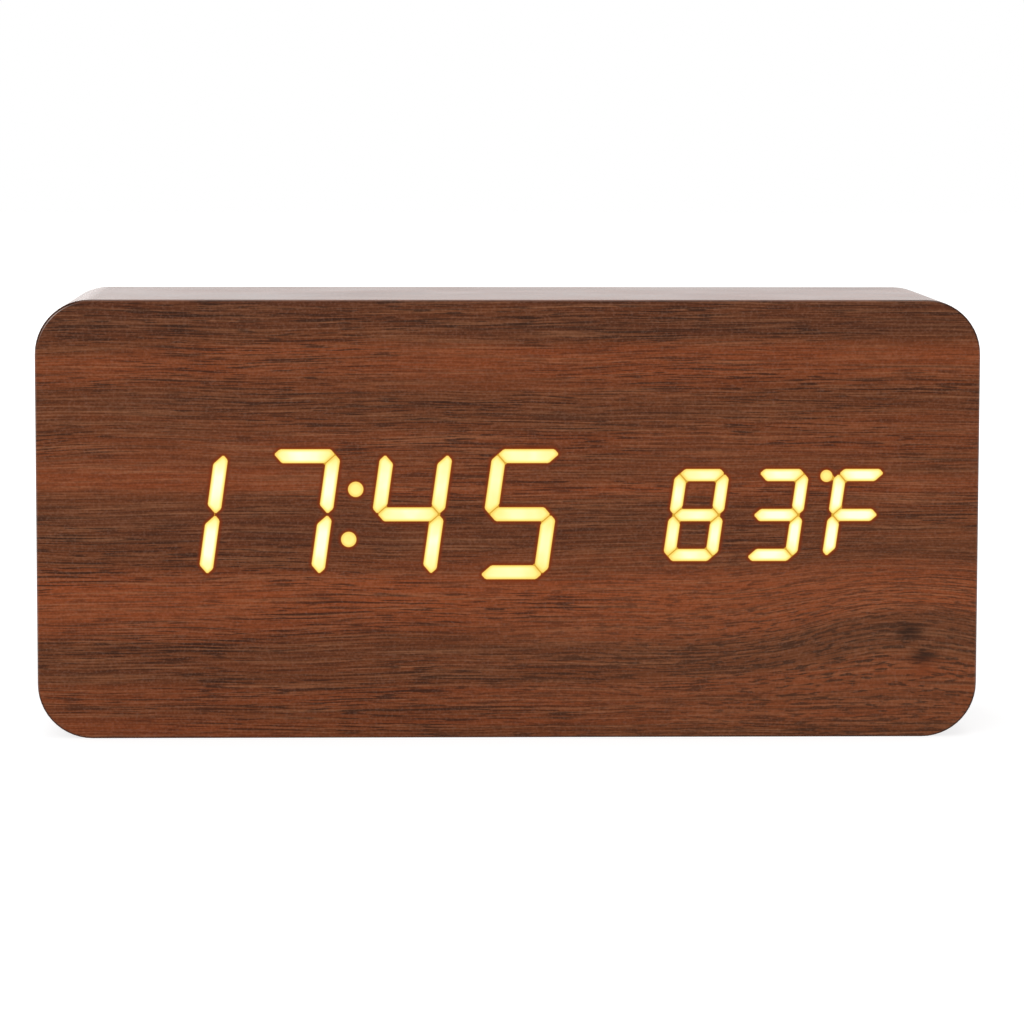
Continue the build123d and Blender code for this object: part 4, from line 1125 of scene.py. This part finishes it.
def grids_on_points(tree, points, size):
    """An upright square grid at each point, whose points remember their place on it."""
    count = SIGN_CELLS + 1
    sizes = [("Size X", size), ("Size Y", size), ("Vertices X", count), ("Vertices Y", count)]
    grid = node(tree, "GeometryNodeMeshGrid", sizes).outputs[0]
    place = node(tree, "GeometryNodeInputPosition").outputs[0]
    kept = store(tree, grid, "on_grid", place, "FLOAT_VECTOR")
    upright = node(tree, "GeometryNodeTransform", [(0, kept), ("Rotation", (-pi / 2, 0, 0))]).outputs[0]
    placed = node(tree, "GeometryNodeInstanceOnPoints", [("Points", points), ("Instance", upright)])
    return node(tree, "GeometryNodeRealizeInstances", [(0, placed.outputs[0])]).outputs[0]


def cut_to_signs(tree, grids, arm):
    """Leave a bar of each grid, or a cross where its point carries a one."""
    on_grid = recall(tree, "on_grid", "FLOAT_VECTOR")
    along, across, _ = node(tree, "ShaderNodeSeparateXYZ", [(0, on_grid)]).outputs
    half = times(tree, arm, 0.5)
    off_bar = maths(tree, "GREATER_THAN", maths(tree, "ABSOLUTE", across), half)
    on_arm = maths(tree, "LESS_THAN", maths(tree, "ABSOLUTE", along), half)
    on_cross = times(tree, recall(tree, "crossed", "FLOAT"), on_arm)
    spare = times(tree, off_bar, minus(tree, 1.0, on_cross))
    cut = node(tree, "GeometryNodeDeleteGeometry", [(0, grids), ("Selection", spare)], domain="FACE")
    return cut.outputs[0]


print("a sign's grid has", SIGN_CELLS, "cells a side")

# %% [markdown]
# A flat sign falls onto the trough point by point, so it takes on the round of the trough. Its faces are
# then raised. That leaves it open at the back, so the flat sign is turned over and joined on as its back.

# %% Signs that fall onto a surface and get their height
FALL_REACH = 20 * MM
WELD_REACH = 0.001 * MM


def drop_onto(tree, signs, surface):
    """Let every point fall forwards onto another piece."""
    target = node(tree, "GeometryNodeObjectInfo", [("Object", surface)]).outputs["Geometry"]
    ray = [("Target Geometry", target), ("Ray Direction", (0, -1, 0)), ("Ray Length", FALL_REACH)]
    hit = node(tree, "GeometryNodeRaycast", ray).outputs["Hit Position"]
    return node(tree, "GeometryNodeSetPosition", [(0, signs), ("Position", hit)]).outputs[0]


def thicken(tree, signs, height):
    """Raise each sign and close it at the back, so that it is a solid."""
    rise = node(tree, "ShaderNodeCombineXYZ", [("Y", height)]).outputs[0]
    inputs = [(0, signs), ("Offset", rise), ("Individual", False)]
    raised = node(tree, "GeometryNodeExtrudeMesh", inputs, mode="FACES")
    backs = node(tree, "GeometryNodeFlipFaces", [(0, signs)])
    whole = node(tree, "GeometryNodeJoinGeometry")
    for half in (raised, backs):
        tree.links.new(half.outputs[0], whole.inputs[0])
    closed = node(tree, "GeometryNodeMergeByDistance", [(0, whole.outputs[0]), ("Distance", WELD_REACH)])
    return closed.outputs[0]


print("a sign may fall", round(FALL_REACH / MM), "mm")

# %% [markdown]
# The tree itself is those four steps in a row. Its inputs are the surface that the signs lie on, the
# length of a sign, the width of its arms, its height and its finish.

# %% A tree that moulds signs on a surface


def sign_tree():
    """Geometry Nodes: a raised bar or cross at each point, lying on another piece's surface."""
    inputs = {"Surface": "Object", "Size": "Float", "Arm": "Float", "Height": "Float"}
    tree, source = new_mesh_tree("signs on a surface", inputs)
    grids = grids_on_points(tree, source.outputs["Geometry"], source.outputs["Size"])
    signs = cut_to_signs(tree, grids, source.outputs["Arm"])
    landed = drop_onto(tree, signs, source.outputs["Surface"])
    return end_in_mesh(tree, thicken(tree, landed, source.outputs["Height"]), source)


signs_on_surface = sign_tree()
print("the tree has", len(signs_on_surface.nodes), "nodes")

# %% [markdown]
# The cells lie in three rows, each the other way round from the next, so that short strips join them in
# a chain. The signs go a little in from each end. A point starts above the trough and falls from there.

# %% Signs in the battery bay
bay_low, bay_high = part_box("battery_springs")
CELL_PITCH = 11.2 * MM
CELL_ROWS = (-CELL_PITCH, 0.0, CELL_PITCH)
SIGN_INSET = 11 * MM
FALL_FROM = 16 * MM


def point_cloud(name, places, attribute, values):
    """An object of loose points, each with a number kept under the attribute's name."""
    mesh = bpy.data.meshes.new(name)
    mesh.from_pydata(places, [], [])
    mesh.attributes.new(attribute, "FLOAT", "POINT").data.foreach_set("value", values)
    cloud = bpy.data.objects.new(name, mesh)
    bpy.context.scene.collection.objects.link(cloud)
    return cloud


sign_places, sign_crosses = [], []
for row_number, row in enumerate(CELL_ROWS):
    for end, x in enumerate((bay_low.x + SIGN_INSET, bay_high.x - SIGN_INSET)):
        sign_places.append((x, FALL_FROM, case_size.z / 2 + row))
        sign_crosses.append((row_number + end) % 2)
bay_signs = point_cloud("bay_signs", sign_places, "crossed", sign_crosses)
sign_values = {
    "Surface": nodes["rear_cover"],
    "Size": 3.6 * MM,
    "Arm": 0.9 * MM,
    "Height": 0.4 * MM,
    "Finish": button_plastic,
}
settle(bay_signs, signs_on_surface, sign_values)
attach(bay_signs, "clock")
print("bay signs have", len(bay_signs.data.polygons), "faces")

# %% [markdown]
# By the buttons and on the battery door are small raised shapes: a disc for setting, a triangle that
# points up or down for changing the number, and one that shows which way to push the door's tongue.
# A cone with its top cut off and few sides is such a shape, and its slope is the draft that lets it out
# of the mould. The tree sets one at each point, and a number kept on the point turns it.

# %% A tree that sets raised shapes
TOP_SHARE = 0.86


def shape_tree():
    """Geometry Nodes: a low many-sided cone at each point, facing the rear."""
    tree, source = new_mesh_tree("raised shapes", {"Sides": "Int", "Radius": "Float", "Height": "Float"})
    points, sides, radius, height = (source.outputs[key] for key in ("Geometry", "Sides", "Radius", "Height"))
    ends = [("Radius Top", times(tree, radius, TOP_SHARE)), ("Radius Bottom", radius)]
    cone = node(tree, "GeometryNodeMeshCone", [("Vertices", sides), *ends, ("Depth", height)]).outputs[0]
    turn = recall(tree, "turn", "FLOAT")
    rotation = node(tree, "ShaderNodeCombineXYZ", [("X", -pi / 2), ("Y", turn)]).outputs[0]
    inputs = [("Points", points), ("Instance", cone), ("Rotation", rotation)]
    placed = node(tree, "GeometryNodeInstanceOnPoints", inputs).outputs[0]
    return end_in_mesh(tree, placed, source)


raised_shapes = shape_tree()
print("the tree has", len(raised_shapes.nodes), "nodes")

# %% [markdown]
# The arrows and the dot stand in a row above the buttons, and the door's arrow stands in its upper part.
# Each goes by the box of the piece that it belongs to. They are set a hair into the plastic, so that no
# gap shows under them, and painted light grey, so that they can be read on black.

# %% Raised shapes by the buttons and on the door
POINT_UP, POINT_DOWN = -pi / 2, pi / 2
MARK_RISE = 3.0 * MM
MARK_HEIGHT = 0.25 * MM
MARK_SINK = 0.05 * MM
DOOR_ARROW_HEIGHT = 34.5 * MM
TRIANGLE_SIDES = 3
DISC_SIDES = 32
ARROW_RADIUS = 1.2 * MM
DOT_RADIUS = 0.8 * MM
DOOR_ARROW_RADIUS = 1.6 * MM
mark_paint = plastic("mark_paint", srgb(196, 196, 192), 0.5, grain=0.2 * MM)


def marks(name, surface, spots, sides, radius, body):
    """Raised shapes on a face that looks to the rear. A spot is a node, a height and a turn."""
    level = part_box(surface)[1].y - MARK_SINK
    places = []
    for neighbour, height, _ in spots:
        low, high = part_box(neighbour)
        places.append(((low.x + high.x) / 2, level, height))
    cloud = point_cloud(name, places, "turn", [turn for _, _, turn in spots])
    values = {"Sides": sides, "Radius": radius, "Height": MARK_HEIGHT + MARK_SINK, "Finish": mark_paint}
    settle(cloud, raised_shapes, values)
    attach(cloud, body)
    print(name, "has", len(cloud.data.polygons), "faces")


above_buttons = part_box("up_button")[1].z + MARK_RISE
arrow_spots = (("up_button", above_buttons, POINT_UP), ("down_button", above_buttons, POINT_DOWN))
dot_spots = (("set_button", above_buttons, 0.0),)
door_spots = (("battery_door", DOOR_ARROW_HEIGHT, POINT_DOWN),)
marks("button_arrows", "rear_cover", arrow_spots, TRIANGLE_SIDES, ARROW_RADIUS, "clock")
marks("set_dot", "rear_cover", dot_spots, DISC_SIDES, DOT_RADIUS, "clock")
marks("door_arrow", "battery_door", door_spots, TRIANGLE_SIDES, DOOR_ARROW_RADIUS, "battery_door")

# %% [markdown]
# ## Table, backdrop and light
#
# The clock stands on a white table in a white room. The camera sees white because the table and the
# world say so on camera rays, and reflections see the same white. What lights the clock is softer: a
# dim world and three large lamps, set so that a colour comes out about as it was written.

# %% Make the table and the world
FLOOR_SIDE = 6.0
PAPER_STOPS = [(0.3, 0.78), (0.7, 0.80)]
SEEN_GREY = (0.30, 0.30, 0.30, 1)
GLOW_STOPS = [(0.12, 0.80), (0.45, 1.0)]
WHITE = (1, 1, 1, 1)
ROOM_LIGHT = 0.45


def look_and_light(tree, lighting, shown, output_kind):
    """End a tree in two shaders: one for rays that bring light, one for rays that look."""
    rays = node(tree, "ShaderNodeLightPath").outputs
    looks = maths(tree, "MAXIMUM", rays["Is Camera Ray"], rays["Is Glossy Ray"])
    looks = maths(tree, "MAXIMUM", looks, rays["Is Transmission Ray"])
    mixed = node(tree, "ShaderNodeMixShader", [(0, looks), (1, lighting), (2, shown)])
    node(tree, output_kind, [(0, mixed.outputs[0])])


def floor_material():
    """White table: glows for the camera just enough to be white, and still takes a shadow."""
    material, tree = empty_material("white_table")
    place = object_place(tree)
    paper = ramp(tree, noise(tree, place, (40, 40, 40), detail=2.0), PAPER_STOPS)
    matt = node(tree, "ShaderNodeBsdfDiffuse", [("Color", paper)])
    seen_matt = node(tree, "ShaderNodeBsdfDiffuse", [("Color", SEEN_GREY)])
    away = node(tree, "ShaderNodeVectorMath", [(0, place)], operation="LENGTH").outputs["Value"]
    glow = node(tree, "ShaderNodeEmission", [("Strength", ramp(tree, away, GLOW_STOPS))])
    seen = node(tree, "ShaderNodeAddShader", [(0, seen_matt.outputs[0]), (1, glow.outputs[0])])
    look_and_light(tree, matt.outputs[0], seen.outputs[0], "ShaderNodeOutputMaterial")
    return material


floor_form = bmesh.new()
bmesh.ops.create_grid(floor_form, x_segments=1, y_segments=1, size=FLOOR_SIDE / 2)
floor = add_piece("table_top", floor_form, floor_material())

world = bpy.data.worlds.new("white room")
world.use_nodes = True
bpy.context.scene.world = world
room = world.node_tree
room.nodes.clear()
soft = node(room, "ShaderNodeBackground", [("Color", WHITE), ("Strength", ROOM_LIGHT)])
bright = node(room, "ShaderNodeBackground", [("Color", WHITE), ("Strength", 1.0)])
look_and_light(room, soft.outputs[0], bright.outputs[0], "ShaderNodeOutputWorld")
print("the table is", FLOOR_SIDE, "m wide and the world has", len(room.nodes), "nodes")

# %% [markdown]
# The lamps stand for large soft lights in front, above and behind. Broad lamps leave no hard highlight
# on the film, and the one behind is there for the views of the rear.

# %% Place the lamps


def lamp(name, place, aim, side, power):
    """A large square lamp that points at a spot."""
    data = bpy.data.lights.new(name, "AREA")
    data.shape = "SQUARE"
    data.size = side
    data.energy = power
    made = bpy.data.objects.new(name, data)
    made.location = place
    made.rotation_euler = (Vector(aim) - Vector(place)).to_track_quat("-Z", "Y").to_euler()
    bpy.context.scene.collection.objects.link(made)
    return made


clock_middle = (cad_low + cad_high) / 2
lamps = (
    lamp("front_lamp", (-0.35, -1.1, 0.75), clock_middle, side=0.8, power=7.0),
    lamp("top_lamp", (0.1, 0.1, 1.2), clock_middle, side=1.0, power=6.0),
    lamp("rear_lamp", (-0.5, 1.1, 0.7), clock_middle, side=0.8, power=6.0),
)
print("lamps:", [made.name for made in lamps])
